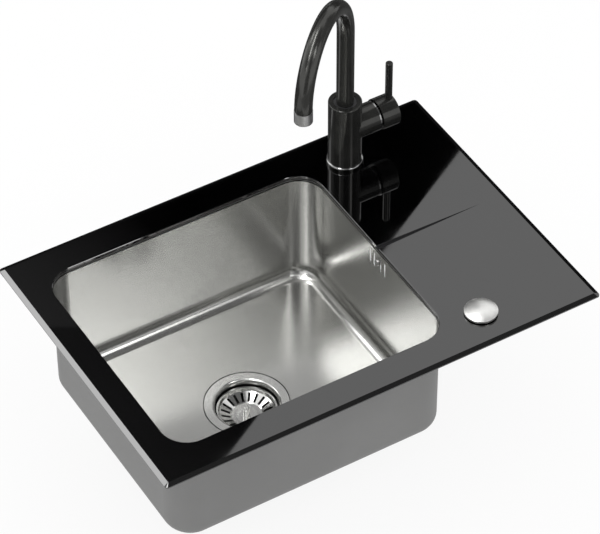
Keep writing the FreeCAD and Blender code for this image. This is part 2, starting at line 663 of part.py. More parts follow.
def button_cap():
    """Domed round cap with a short rim, hollow over the housing flange."""
    rim_top = BUTTON_RIM_Z + BUTTON_RIM_H
    crown = rim_top + BUTTON_CROWN
    sphere_r = (BUTTON_R ** 2 + BUTTON_CROWN ** 2) / (2 * BUTTON_CROWN)
    mid_r = BUTTON_R / 2
    mid_z = crown - sphere_r + math.sqrt(sphere_r ** 2 - mid_r ** 2)
    inner_r = BUTTON_R - BUTTON_WALL
    return turned(outline(
        (0, crown), ((mid_r, mid_z), (BUTTON_R, rim_top)), (BUTTON_R, BUTTON_RIM_Z), (inner_r, BUTTON_RIM_Z),
        (inner_r, BUTTON_CEILING), (0, BUTTON_CEILING)), BUTTON)


def button_stem():
    """Plunger under the cap with a collar that the spring pushes on."""
    foot = BARREL_BOTTOM + BUTTON_TRAVEL + SLIP
    shaft = rod(BUTTON_STEM_R, foot, BUTTON_CEILING, BUTTON)
    collar = rod(STEM_COLLAR_R, COLLAR_TOP - STEM_COLLAR_T, COLLAR_TOP, BUTTON)
    return shaft.fuse(collar).removeSplitter()


def button_housing():
    """Flanged barrel through the glass: spring chamber, stem guide and cable gland."""
    flange_foot = GLASS_TOP + BUTTON_SEAL_T
    body = rod(BUTTON_FLANGE_R, flange_foot, BUTTON_FLANGE_TOP, BUTTON)
    body = body.fuse(rod(BARREL_R, BARREL_BOTTOM - WASTE_WALL, flange_foot, BUTTON))
    body = body.fuse(rod(GLAND_R, BARREL_BOTTOM - WASTE_WALL - GLAND_LENGTH, BARREL_BOTTOM, BUTTON))
    chamber = rod(SPRING_CHAMBER_R, GUIDE_TOP, BUTTON_FLANGE_TOP, BUTTON)
    guide = rod(BUTTON_STEM_R + RUNNING, BARREL_BOTTOM, GUIDE_TOP, BUTTON)
    cable = rod(CABLE_BORE_R, BARREL_BOTTOM - WASTE_WALL - GLAND_LENGTH, BARREL_BOTTOM, BUTTON)
    return body.cut([chamber, guide, cable]).removeSplitter()


def button_seal():
    """Flat rubber ring under the housing flange."""
    return tube(BUTTON_FLANGE_R, BARREL_R + SLIP, GLASS_TOP, GLASS_TOP + BUTTON_SEAL_T, BUTTON)


def button_nut():
    """Plastic hand nut under the glass, with finger notches round its edge."""
    low = GLASS_BOTTOM - BUTTON_NUT_T
    nut = tube(BUTTON_NUT_R, BARREL_R + THREAD_GAP, low, GLASS_BOTTOM, BUTTON)
    for i in range(NUT_NOTCHES):
        angle = 2 * math.pi * i / NUT_NOTCHES
        at = BUTTON + V(math.cos(angle), math.sin(angle), 0) * BUTTON_NUT_R
        nut = nut.cut(rod(NUT_NOTCH_R, low, GLASS_BOTTOM, at))
    return nut


def button_spring():
    """Coil spring round the stem, one unbroken wire of quarter-turn arcs."""
    coil_r = (SPRING_CHAMBER_R + BUTTON_STEM_R) / 2
    low = GUIDE_TOP + SPRING_WIRE / 2
    high = COLLAR_TOP - STEM_COLLAR_T - SPRING_WIRE / 2
    steps = SPRING_STEPS * SPRING_TURNS
    points = []
    for i in range(steps + 1):
        angle = 2 * math.pi * i / SPRING_STEPS
        rise = low + (high - low) * i / steps
        points.append(BUTTON + V(coil_r * math.cos(angle), coil_r * math.sin(angle), rise))
    arcs = [Part.Arc(points[i], points[i + 1], points[i + 2]).toShape() for i in range(0, steps, 2)]
    path = Part.Wire(arcs)
    tangent = V(0, coil_r, (high - low) / SPRING_TURNS / (2 * math.pi))
    section = Part.Wire(Part.makeCircle(SPRING_WIRE / 2, points[0], tangent))
    gap = min((b - a).Length for a, b in zip(points, points[SPRING_STEPS:])) - SPRING_WIRE
    print("button spring: least gap between turns", round(gap, 2))
    return path.makePipeShell([section], True, False)


def tap_base_ring():
    """Polished ring that the tap body stands on, recessed below for its gasket."""
    low = GLASS_TOP + SLIP
    ring = tube(BASE_RING_R, SHANK_R + SLIP, low, BODY_FOOT, TAP)
    ring = ring.cut(rod(BASE_GASKET_R + SLIP, low, GLASS_TOP + BASE_GASKET_T, TAP))
    return rounded(ring, BASE_RING_EDGE, circle_at(BODY_FOOT, BASE_RING_R, TAP))


def tap_base_gasket():
    """Rubber ring between the base ring and the glass."""
    return tube(BASE_GASKET_R, HOLE_R + SLIP, GLASS_TOP, GLASS_TOP + BASE_GASKET_T, TAP)


def tap_body():
    """Cast body with a side branch: shank thread, spout socket, cartridge bore and water channels."""
    column = rod(TAP_R, BODY_FOOT, BODY_TOP, TAP)
    column = rounded(column, TAP_EDGE, circle_at(BODY_TOP, TAP_R, TAP))
    body = column.fuse(bar(BRANCH_R, 0, BRANCH_REACH))
    cuts = [rod(SHANK_R + THREAD_GAP, BODY_FOOT, SHANK_TOP, TAP)]
    cuts.append(rod(SOCKET_R, SOCKET_FLOOR, BODY_TOP, TAP))
    cuts.append(rod(BUSH_R, BUSH_FLOOR, BODY_TOP, TAP))
    cuts.append(bar(CARTRIDGE_BORE_R, CARTRIDGE_START, BRANCH_REACH))
    cuts.append(rod(CHANNEL_R, BRANCH_Z, SOCKET_FLOOR, TAP))
    cuts.append(bar(CHANNEL_R, 0, CARTRIDGE_START))
    feed_z = BRANCH_Z - CARTRIDGE_BORE_R + CHANNEL_R + FEED_MARGIN
    for side in (-1, 1):
        foot = TAP + V(0, side * INLET_SPACING / 2, 0)
        cuts.append(rod(INLET_R, SHANK_TOP, feed_z, foot))
        cuts.append(bar(CHANNEL_R, 0, CARTRIDGE_START, foot + Z_AXIS * feed_z))
    screw_at = TAP + Z_AXIS * lock_screw_z()
    cuts.append(bar(LOCK_SCREW_R + THREAD_GAP, SOCKET_R - LOCK_GROOVE_DEPTH, TAP_R, screw_at, Y_AXIS))
    return body.cut(cuts).removeSplitter()


def tap_shank():
    """Threaded tube through the glass that holds the tap and lets the supply pass."""
    return tube(SHANK_R, SHANK_BORE_R, SHANK_TOP - SHANK_LENGTH, SHANK_TOP, TAP)


def tap_clamp_gasket():
    """Rubber ring under the glass."""
    return tube(CLAMP_R, SHANK_R + SLIP, GLASS_BOTTOM - CLAMP_GASKET_T, GLASS_BOTTOM, TAP)


def tap_clamp_washer():
    """Steel washer under the rubber ring."""
    top = GLASS_BOTTOM - CLAMP_GASKET_T
    return tube(CLAMP_R, SHANK_R + SLIP, top - CLAMP_WASHER_T, top, TAP)


def tap_clamp_nut():
    """Six-sided nut on the shank."""
    top = GLASS_BOTTOM - CLAMP_GASKET_T - CLAMP_WASHER_T
    corner_r = CLAMP_NUT_FLATS / math.sqrt(3)
    angles = [math.radians(60 * i) for i in range(7)]
    points = [TAP + V(corner_r * math.cos(a), corner_r * math.sin(a), top - CLAMP_NUT_T) for a in angles]
    nut = slab(Part.makePolygon(points), CLAMP_NUT_T)
    return nut.cut(rod(SHANK_R + THREAD_GAP, top - CLAMP_NUT_T, top, TAP))


def spout():
    """Gooseneck tube: a straight riser and a half-circle bend towards the bowl."""
    riser = tube(SPOUT_R, SPOUT_BORE_R, SPOUT_FOOT, BEND_Z, TAP)
    section = Part.Face([Part.Wire(Part.makeCircle(r, TAP + Z_AXIS * BEND_Z)) for r in (SPOUT_R, SPOUT_BORE_R)])
    centre = TAP + HEADING * SPOUT_BEND_R + Z_AXIS * BEND_Z
    bend = section.revolve(centre, Z_AXIS.cross(HEADING), 180)
    return riser.fuse(bend).removeSplitter()


def lock_screw_z():
    """Height of the lock screw, level with the groove near the top of the insert."""
    return INSERT_FOOT + INSERT_LENGTH - 2 * LOCK_SCREW_R


def o_ring_heights():
    """Heights of the two O-ring grooves in the insert."""
    first = SPOUT_FOOT + O_RING_D
    return [first, first + O_RING_PITCH]


def spout_insert():
    """Brass sleeve on the foot of the spout, grooved for two O-rings and the lock screw."""
    top = INSERT_FOOT + INSERT_LENGTH
    sleeve = tube(INSERT_R, SPOUT_BORE_R, INSERT_FOOT, top, TAP)
    sleeve = sleeve.cut(rod(SPOUT_R + THREAD_GAP, SPOUT_FOOT, top, TAP))
    half = O_RING_D / 2 + RUNNING
    floor_r = SOCKET_R - 2 * RUNNING - O_RING_D - RUNNING
    for z in o_ring_heights():
        sleeve = sleeve.cut(tube(SOCKET_R, floor_r, z - half, z + half, TAP))
    groove_half = LOCK_SCREW_R + SLIP
    groove_r = INSERT_R - LOCK_GROOVE_DEPTH
    return sleeve.cut(tube(SOCKET_R, groove_r, lock_screw_z() - groove_half, lock_screw_z() + groove_half, TAP))


def spout_o_rings():
    """Two rubber O-rings in the grooves of the insert."""
    mean_r = SOCKET_R - 2 * RUNNING - O_RING_D / 2
    rings = [Part.makeTorus(mean_r, O_RING_D / 2, TAP + Z_AXIS * z) for z in o_ring_heights()]
    return Part.makeCompound(rings)


def spout_bush():
    """Glide ring that steadies the spout in the top of the body."""
    return tube(BUSH_R - THREAD_GAP, SPOUT_R + RUNNING, BUSH_FLOOR, BUSH_FLOOR + BUSH_H, TAP)


def spout_lock_screw():
    """Headless screw at the back of the body; its tip runs in the insert's groove."""
    tip = INSERT_R - LOCK_GROOVE_DEPTH + SLIP
    outer = math.sqrt(TAP_R ** 2 - LOCK_SCREW_R ** 2) - SLIP
    return bar(LOCK_SCREW_R, tip, outer, TAP + Z_AXIS * lock_screw_z(), Y_AXIS)


def aerator_housing():
    """Screw-in sleeve at the spout's mouth, a little wider than the tube."""
    low = BEND_Z - AERATOR_H
    sleeve = rod(AERATOR_R, low, BEND_Z, OUTLET)
    sleeve = sleeve.fuse(rod(SPOUT_BORE_R - THREAD_GAP, BEND_Z, BEND_Z + AERATOR_SPIGOT_H, OUTLET))
    sleeve = sleeve.cut(rod(AERATOR_BORE_R, low, BEND_Z + AERATOR_SPIGOT_H, OUTLET)).removeSplitter()
    return rounded(sleeve, (AERATOR_R - AERATOR_BORE_R) / 4, circle_at(low, AERATOR_R, OUTLET))


def aerator_insert():
    """Perforated jet breaker inside the sleeve."""
    low = BEND_Z - AERATOR_H + AERATOR_RECESS
    high = low + AERATOR_INSERT_H
    core = rod(AERATOR_BORE_R - THREAD_GAP, low, high, OUTLET)
    for i in range(AERATOR_HOLES):
        angle = 2 * math.pi * i / AERATOR_HOLES
        at = OUTLET + V(math.cos(angle), math.sin(angle), 0) * AERATOR_CIRCLE_R
        core = core.cut(rod(AERATOR_HOLE_R, low, high, at))
    return core.cut(rod(AERATOR_HOLE_R, low, high, OUTLET))


def aerator_seal():
    """Rubber ring on top of the aerator sleeve."""
    low = BEND_Z + AERATOR_SPIGOT_H
    return tube(SPOUT_BORE_R - SLIP, AERATOR_BORE_R, low, low + AERATOR_SEAL_T, OUTLET)


def cartridge_body():
    """Ceramic mixing cartridge with a round pocket for its rotor."""
    end = CARTRIDGE_START + CARTRIDGE_L
    body = bar(CARTRIDGE_BORE_R - THREAD_GAP, CARTRIDGE_START, end)
    return body.cut(bar(ROTOR_R + RUNNING, end - ROTOR_L - SLIP, end))


def cartridge_rotor():
    """Turning disc of the cartridge, slotted for the stem and drilled for its pivot pin."""
    end = CARTRIDGE_START + CARTRIDGE_L
    width = STEM_SQUARE + SLIP
    disc = bar(ROTOR_R, end - ROTOR_L, end - SLIP)
    corner = BRANCH + V(end - ROTOR_L, -width / 2, -ROTOR_SLOT_H / 2)
    disc = disc.cut(Part.makeBox(ROTOR_L, width, ROTOR_SLOT_H, corner))
    return disc.cut(bar(PIVOT_PIN_R + THREAD_GAP, -ROTOR_R, ROTOR_R, pivot(), Y_AXIS))


def pivot():
    """Point that the lever tilts about."""
    return BRANCH + X_AXIS * PIVOT_REACH


def stem_pivot_pin():
    """Cross pin that the stem tilts on."""
    half = math.sqrt(ROTOR_R ** 2 - PIVOT_PIN_R ** 2) - SLIP
    return bar(PIVOT_PIN_R, -half, half, pivot(), Y_AXIS)


def cartridge_stem():
    """Square spindle from the cartridge into the handle."""
    start = PIVOT_REACH - STEM_TAIL
    corner = BRANCH + V(start, -STEM_SQUARE / 2, -STEM_SQUARE / 2)
    stem = Part.makeBox(STEM_END - start, STEM_SQUARE, STEM_SQUARE, corner)
    return stem.cut(bar(PIVOT_PIN_R + RUNNING, -STEM_SQUARE, STEM_SQUARE, pivot(), Y_AXIS))


def cartridge_nut():
    """Ring nut that holds the cartridge in the branch."""
    start = CARTRIDGE_START + CARTRIDGE_L
    ring = bar(CARTRIDGE_BORE_R - THREAD_GAP, start, start + NUT_L)
    return ring.cut(bar(NUT_BORE_R, start, start + NUT_L))


def trim_ring():
    """Bright ring on the end of the branch."""
    ring = bar(BRANCH_R, BRANCH_REACH, TRIM_FRONT).cut(bar(NUT_BORE_R, BRANCH_REACH, TRIM_FRONT))
    return rounded(ring, TRIM_T / 4, circle_across(TAP_X + TRIM_FRONT, BRANCH_R))


def handle_cap():
    """Round handle, hollow towards the branch and relieved below so that it can tilt."""
    cap = bar(HANDLE_R, HANDLE_START, HANDLE_END)
    cap = rounded(cap, HANDLE_EDGE, circle_across(TAP_X + HANDLE_END, HANDLE_R))
    cavity_end = HANDLE_START + HANDLE_CAVITY_L
    cap = cap.cut(bar(HANDLE_CAVITY_R, HANDLE_START, cavity_end))
    square = STEM_SQUARE + 2 * RUNNING
    socket = Part.makeBox(STEM_END + SLIP - cavity_end, square, square,
                          BRANCH + V(cavity_end, -square / 2, -square / 2))
    lever_at = BRANCH + X_AXIS * LEVER_REACH
    lever_hole = rod(LEVER_R + RUNNING, LEVER_SEAT, HANDLE_R, lever_at)
    grub_hole = rod(GRUB_R + THREAD_GAP, -HANDLE_R, 0, lever_at)
    side = 4 * HANDLE_R
    relief = Part.makeBox(side, side, side, BRANCH + V(TRIM_FRONT + TILT_CLEARANCE - side, -side / 2, -side / 2))
    relief.rotate(pivot(), Y_AXIS, -LEVER_TILT)
    return cap.cut([socket, lever_hole, grub_hole, relief]).removeSplitter()


def lever_pin():
    """Thin round lever that stands on the handle."""
    at = BRANCH + X_AXIS * LEVER_REACH
    top = LEVER_TOP - BRANCH_H
    pin = rod(LEVER_R, LEVER_SEAT, top, at)
    return rounded(pin, LEVER_EDGE, circle_at(BRANCH_Z + top, LEVER_R, at))


def handle_grub_screw():
    """Headless screw that clamps the handle on the stem, from below."""
    high = -STEM_SQUARE / 2 - RUNNING
    return rod(GRUB_R, high - GRUB_L, high, BRANCH + X_AXIS * LEVER_REACH)


PIECES = [
    glass_top, rim_seal, bond_seal, bowl,
    strainer_cup, flange_seal, waste_gasket, waste_body, waste_bolt, lifter_pin,
    basket_dish, basket_post, basket_plug, basket_seal,
    overflow_gasket, overflow_housing, overflow_screw,
    button_cap, button_stem, button_housing, button_seal, button_nut, button_spring,
    tap_base_ring, tap_base_gasket, tap_body, tap_shank, tap_clamp_gasket, tap_clamp_washer, tap_clamp_nut,
    spout, spout_insert, spout_o_rings, spout_bush, spout_lock_screw,
    aerator_housing, aerator_insert, aerator_seal,
    cartridge_body, cartridge_rotor, stem_pivot_pin, cartridge_stem, cartridge_nut, trim_ring,
    handle_cap, lever_pin, handle_grub_screw,
]

os.makedirs("parts", exist_ok=True)
for piece in PIECES:
    piece().exportStep("parts/" + piece.__name__ + ".step")
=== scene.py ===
import math
import bpy
import numpy as np
from mathutils import Matrix, Vector


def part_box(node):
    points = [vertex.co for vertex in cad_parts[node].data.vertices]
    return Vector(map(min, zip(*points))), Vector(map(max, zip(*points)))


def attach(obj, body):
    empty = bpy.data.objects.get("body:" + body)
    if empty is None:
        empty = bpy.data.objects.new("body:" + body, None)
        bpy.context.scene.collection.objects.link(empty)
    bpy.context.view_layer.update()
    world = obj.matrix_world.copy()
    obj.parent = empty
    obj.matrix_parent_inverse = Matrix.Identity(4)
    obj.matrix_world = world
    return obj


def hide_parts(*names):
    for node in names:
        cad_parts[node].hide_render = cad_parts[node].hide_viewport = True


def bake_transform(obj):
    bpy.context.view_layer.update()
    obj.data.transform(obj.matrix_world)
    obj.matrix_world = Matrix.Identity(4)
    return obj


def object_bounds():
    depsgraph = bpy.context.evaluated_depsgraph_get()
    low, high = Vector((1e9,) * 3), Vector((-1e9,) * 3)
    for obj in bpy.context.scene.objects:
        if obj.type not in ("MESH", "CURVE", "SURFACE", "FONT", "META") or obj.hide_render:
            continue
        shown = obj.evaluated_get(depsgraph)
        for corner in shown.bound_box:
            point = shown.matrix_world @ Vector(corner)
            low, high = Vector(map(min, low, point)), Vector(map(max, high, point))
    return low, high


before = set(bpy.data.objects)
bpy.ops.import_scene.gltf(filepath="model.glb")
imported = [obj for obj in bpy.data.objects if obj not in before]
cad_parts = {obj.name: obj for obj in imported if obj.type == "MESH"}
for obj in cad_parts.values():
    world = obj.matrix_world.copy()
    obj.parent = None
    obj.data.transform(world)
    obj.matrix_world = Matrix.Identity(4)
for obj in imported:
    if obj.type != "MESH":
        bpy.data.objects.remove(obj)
cad_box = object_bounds()

# Glass top
# A plate of toughened glass, printed black on its back, with a ground and polished bevel all round.
# The bowl cut-out, the tap hole, the button hole and the drainer groove are cut before it is toughened. The groove
# is a wedge that runs to a point, and its ground surface is dull.
GLASS_BLACK = (0.0004, 0.0004, 0.0005)
GLASS_HAZE = (0.0012, 0.0012, 0.0013)
PRINT_BLACK = (0.010, 0.010, 0.011)
GLASS_IOR = 1.95
PRINT_ROUGH = 0.48
FACES_DOWN = (-0.4, -0.6)
GLASS_ROUGH = (0.008, 0.022)
GLASS_SHEEN = 0.5
HAZE_SCALE = 11.0
MARK_DETAIL = 5.0
MARK_BAND = (0.36, 0.68)
GROOVE_START = 0.1227
GROOVE_LENGTH = 0.1605
GROOVE_HALF = 0.0040
GROOVE_GREY = (0.015, 0.015, 0.016)
GROOVE_ROUGH = 0.30
GROOVE_SHEEN = 0.02


def node(tree, kind, sockets=None, **properties):
    """A shader node: sockets maps an input's name or number to a plain value or to another node's output."""
    made = tree.nodes.new("ShaderNode" + kind)
    for name, value in properties.items():
        setattr(made, name, value)
    for name, value in (sockets or {}).items():
        if isinstance(value, bpy.types.NodeSocket):
            tree.links.new(value, made.inputs[name])
        else:
            made.inputs[name].default_value = value
    return made


def effect(name, inputs, output):
    """A node group with named inputs and one value that varies over the surface."""
    tree = bpy.data.node_groups.new(name, "ShaderNodeTree")
    for label, kind in inputs.items():
        tree.interface.new_socket(label, in_out="INPUT", socket_type="NodeSocket" + kind)
    tree.interface.new_socket(output, in_out="OUTPUT", socket_type="NodeSocketFloat")
    return tree, tree.nodes.new("NodeGroupInput").outputs, tree.nodes.new("NodeGroupOutput").inputs[output]


def finish(name, **constants):
    """A material with its constant sockets set: the material, its tree, its shader and Object coordinates."""
    material = bpy.data.materials.new(name)
    material.use_nodes = True
    tree = material.node_tree
    shader = tree.nodes["Principled BSDF"]
    for socket, value in constants.items():
        shader.inputs[socket.replace("_", " ")].default_value = value
    return material, tree, shader, node(tree, "TexCoord").outputs["Object"]


def drive(tree, shader, **outputs):
    """Links outputs that vary over the surface to sockets of the shader."""
    for socket, output in outputs.items():
        tree.links.new(output, shader.inputs[socket.replace("_", " ")])


def between(tree, mask, low, high):
    """The value that goes from low to high as a mask goes from 0 to 1."""
    return node(tree, "MapRange", {"Value": mask, "To Min": low, "To Max": high}).outputs["Result"]


def step(tree, value, start, end):
    """A mask that goes from 0 at one value to 1 at another."""
    return node(tree, "MapRange", {"Value": value, "From Min": start, "From Max": end}).outputs["Result"]


def tint(tree, mask, dark, light):
    """The colour that goes from one colour to another as a mask goes from 0 to 1."""
    ends = [value if isinstance(value, bpy.types.NodeSocket) else (*value, 1.0) for value in (dark, light)]
    return node(tree, "Mix", {0: mask, 6: ends[0], 7: ends[1]}, data_type="RGBA").outputs[2]


def mix(tree, mask, low, high):
    """The value that goes from one value or output to another as a mask goes from 0 to 1."""
    return node(tree, "Mix", {0: mask, 2: low, 3: high}).outputs[0]


def height_of(tree, vector):
    """The upright part of a vector output."""
    return node(tree, "SeparateXYZ", {0: vector}).outputs["Z"]


def relief(tree, height, strength, depth, normal=None):
    """The normal that a height pattern gives, on the surface's own normal or another; depth is in metres."""
    made = node(tree, "Bump", {"Height": height, "Strength": strength, "Distance": depth})
    if normal:
        tree.links.new(normal, made.inputs["Normal"])
    return made.outputs["Normal"]


def dress(material, *names):
    """Gives CAD nodes a finish through their material slots."""
    for name in names:
        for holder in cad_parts[name].material_slots:
            holder.material = material


# Soft blotches that hands and cloths leave, from 0 to 1.
marks_group, given, given_out = effect("handling_marks", {"Place": "Vector", "Scale": "Float"}, "Marks")
blotches = node(marks_group, "TexNoise", {"Vector": given["Place"], "Scale": given["Scale"], "Detail": MARK_DETAIL})
marks_group.links.new(step(marks_group, blotches.outputs[0], *MARK_BAND), given_out)


def marks(tree, place, scale):
    """Handling marks of one material, at its own scale in blotches to the metre."""
    return node(tree, "Group", {"Place": place, "Scale": scale}, node_tree=marks_group).outputs[0]


glass, tree, shader, place = finish("black_glass", IOR=GLASS_IOR)
haze = marks(tree, place, HAZE_SCALE)
printed = step(tree, height_of(tree, node(tree, "TexCoord").outputs["Normal"]), *FACES_DOWN)
where = node(tree, "SeparateXYZ", {0: place}).outputs
half_width = between(tree, step(tree, where["X"], GROOVE_START, GROOVE_START + GROOVE_LENGTH), GROOVE_HALF, 0.0)
aside = node(tree, "Math", {0: where["Y"]}, operation="ABSOLUTE").outputs[0]
in_wedge = node(tree, "Math", {0: aside, 1: half_width}, operation="LESS_THAN").outputs[0]
on_drainer = node(tree, "Math", {0: where["X"], 1: 0.0}, operation="GREATER_THAN").outputs[0]
ground = node(tree, "Math", {0: in_wedge, 1: on_drainer}, operation="MULTIPLY").outputs[0]
top_colour = tint(tree, ground, tint(tree, haze, GLASS_BLACK, GLASS_HAZE), GROOVE_GREY)
top_rough = mix(tree, ground, between(tree, haze, *GLASS_ROUGH), GROOVE_ROUGH)
drive(tree, shader, Base_Color=tint(tree, printed, top_colour, PRINT_BLACK),
      Roughness=mix(tree, printed, top_rough, PRINT_ROUGH),
      Specular_IOR_Level=between(tree, ground, GLASS_SHEEN, GROOVE_SHEEN))
dress(glass, "glass_top")

# Rim seal and bond seam
# A frame of soft foam strip under the glass lies on the worktop, and a black adhesive seam between glass and bowl
# holds the two together. Both are pressed flat, and the foam shows its cells at the edge.
FOAM_DARK = (0.020, 0.020, 0.021)
FOAM_LIGHT = (0.055, 0.055, 0.057)
FOAM_SHEEN = 0.2
FOAM_ROUGH = (0.98, 0.82)
CELLS_TO_METRE = 900.0
CELL_RELIEF = (0.6, 0.0006)
BOND_DARK = (0.010, 0.010, 0.010)
BOND_LIGHT = (0.026, 0.026, 0.027)
BOND_SCALE = 140.0
BOND_ROUGH = (0.42, 0.60)
BOND_RELIEF = (0.4, 0.0004)

foam, tree, shader, place = finish("foam_strip", Specular_IOR_Level=FOAM_SHEEN)
cells = node(tree, "TexVoronoi", {"Vector": place, "Scale": CELLS_TO_METRE}).outputs["Distance"]
drive(tree, shader, Base_Color=tint(tree, cells, FOAM_DARK, FOAM_LIGHT),
      Roughness=between(tree, cells, *FOAM_ROUGH), Normal=relief(tree, cells, *CELL_RELIEF))
dress(foam, "rim_seal")

bond, tree, shader, place = finish("adhesive_seam")
ripple = marks(tree, place, BOND_SCALE)
drive(tree, shader, Base_Color=tint(tree, ripple, BOND_DARK, BOND_LIGHT),
      Roughness=between(tree, ripple, *BOND_ROUGH), Normal=relief(tree, ripple, *BOND_RELIEF))
dress(bond, "bond_seal")

# Bowl
# One pressing of stainless steel with upright walls, a filleted floor that falls to the drain and a flat flange.
# The inside is finely brushed. The outside keeps the dull grey skin of the rolled sheet.
STEEL_SHADE = (0.575, 0.576, 0.558)
STEEL_LIGHT = (0.605, 0.605, 0.590)
SKIN_SHADE = (0.205, 0.205, 0.203)
SKIN_LIGHT = (0.220, 0.220, 0.218)
SKIN_ROUGH = 0.50
SKIN_METAL = 0.55
SKIN_SCALE = 9.0
STEEL_ROUGH = (0.205, 0.235)
RIM_SHADOW = (0.05, 0.05, 0.048)
RIM_DEPTH = 0.0030
RIM_FADE = 0.7
NEARLY_LEVEL = (0.985, 0.995)
DISH_SOFTNESS = 0.94
ALONG_BRUSH = 30.0
ACROSS_BRUSH = 2400.0
BRUSH_DETAIL = 3.0
BRUSH_BAND = (0.3, 0.7)
BRUSH_RELIEF = (0.02, 0.0002)

# Fine parallel scratches, from 0 to 1, drawn out by a different scale along each axis.
brush_group, given, given_out = effect("brushed_lines", {"Place": "Vector", "Stretch": "Vector"}, "Lines")
drawn = node(brush_group, "VectorMath", {0: given["Place"], 1: given["Stretch"]}, operation="MULTIPLY")
streaks = node(brush_group, "TexNoise", {"Vector": drawn.outputs[0], "Scale": 1.0, "Detail": BRUSH_DETAIL})
brush_group.links.new(step(brush_group, streaks.outputs[0], *BRUSH_BAND), given_out)


def brushed(tree, place, stretch):
    """Brushed lines of one material; stretch is the number of lines to the metre along each axis."""
    return node(tree, "Group", {"Place": place, "Stretch": stretch}, node_tree=brush_group).outputs[0]


bowl_low, bowl_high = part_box("bowl")
bowl_middle = (bowl_low + bowl_high) / 2
steel, tree, shader, place = finish("bowl_steel")
facing = node(tree, "TexCoord").outputs["Normal"]
level = node(tree, "Math", {0: height_of(tree, facing)}, operation="ABSOLUTE").outputs[0]
floor_lines = brushed(tree, place, (ALONG_BRUSH, ACROSS_BRUSH, ALONG_BRUSH))
wall_lines = brushed(tree, place, (ALONG_BRUSH, ALONG_BRUSH, ACROSS_BRUSH))
lines = mix(tree, level, wall_lines, floor_lines)
from_middle = node(tree, "VectorMath", {0: place, 1: bowl_middle}, operation="SUBTRACT").outputs[0]
outward = node(tree, "VectorMath", {0: facing, 1: from_middle}, operation="DOT_PRODUCT").outputs["Value"]
outside = node(tree, "Math", {0: outward, 1: 0.0}, operation="GREATER_THAN").outputs[0]
nearly_level = node(tree, "Math", {0: step(tree, height_of(tree, facing), *NEARLY_LEVEL), 1: DISH_SOFTNESS},
                    operation="MULTIPLY").outputs[0]
upright = node(tree, "NewGeometry").outputs["Normal"]
flattened = node(tree, "Mix", {0: nearly_level, 4: upright, 5: (0.0, 0.0, 1.0)}, data_type="VECTOR").outputs[1]
# Painted shadow: the inside of the bowl is darkened in the last few millimetres under its rim, where it meets the
# glass.
painted_rim_shadow = step(tree, height_of(tree, place), bowl_high.z - RIM_DEPTH, bowl_high.z - RIM_FADE * RIM_DEPTH)
inner_colour = tint(tree, painted_rim_shadow, tint(tree, lines, STEEL_SHADE, STEEL_LIGHT), RIM_SHADOW)
outer_colour = tint(tree, marks(tree, place, SKIN_SCALE), SKIN_SHADE, SKIN_LIGHT)
drive(tree, shader, Base_Color=tint(tree, outside, inner_colour, outer_colour),
      Roughness=mix(tree, outside, between(tree, lines, *STEEL_ROUGH), SKIN_ROUGH),
      Metallic=between(tree, outside, 1.0, SKIN_METAL),
      Normal=relief(tree, lines, *BRUSH_RELIEF, flattened))
dress(steel, "bowl")

# Strainer cup and basket
# The drain flange is spun from bright steel and turned on a lathe, so its marks run in rings round the drain.
# The basket drops into the cup; it is pressed, slotted and polished, with a grip post riveted in its middle.
DRAIN_SHADE = (0.64, 0.64, 0.625)
DRAIN_LIGHT = (0.78, 0.78, 0.765)
DRAIN_ROUGH = (0.18, 0.25)
BASKET_ROUGH = (0.11, 0.17)
RINGS_TO_METRE = 1500.0
RING_DETAIL = 2.0
RING_BAND = (0.3, 0.7)
RING_RELIEF = (0.03, 0.0002)
FLANGE_SHADOW_DARK = (0.10, 0.10, 0.097)
FLANGE_SHADOW_WIDTH = 0.0011
FLANGE_SHADOW_FADE = 0.8
CUP_SHADOW_DARK = (0.13, 0.13, 0.127)
CUP_SHADOW_DEPTH = 0.0080
CUP_SHADOW_FADE = 0.4

# Rings round an upright axis, from 0 to 1, as a lathe tool leaves them.
turned_group, given, given_out = effect("turned_rings", {"Place": "Vector", "Rings": "Float"}, "Lines")
parts = node(turned_group, "SeparateXYZ", {0: given["Place"]}).outputs
flat = node(turned_group, "CombineXYZ", {"X": parts["X"], "Y": parts["Y"]}).outputs[0]
radius = node(turned_group, "VectorMath", {0: flat}, operation="LENGTH").outputs["Value"]
section = node(turned_group, "CombineXYZ", {"X": radius, "Z": parts["Z"]}).outputs[0]
rings = node(turned_group, "TexNoise", {"Vector": section, "Scale": given["Rings"], "Detail": RING_DETAIL})
turned_group.links.new(step(turned_group, rings.outputs[0], *RING_BAND), given_out)


def turned(tree, place, axis, rings):
    """Turned rings of one material, round the upright axis through a point."""
    centred = node(tree, "Mapping", {"Vector": place, "Location": (-axis.x, -axis.y, 0.0)}).outputs[0]
    return node(tree, "Group", {"Place": centred, "Rings": rings}, node_tree=turned_group).outputs[0]


def turned_metal(name, axis, shade, light, rough):
    """A metal turned on a lathe: rings vary its colour, its roughness and its relief."""
    material, tree, shader, place = finish(name, Metallic=1.0)
    lines = turned(tree, place, axis, RINGS_TO_METRE)
    drive(tree, shader, Base_Color=tint(tree, lines, shade, light),
          Roughness=between(tree, lines, *rough), Normal=relief(tree, lines, *RING_RELIEF))
    return material


def middle_of(name):
    """The middle of a CAD node's box, on the axis of a round piece."""
    low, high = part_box(name)
    return (low + high) / 2


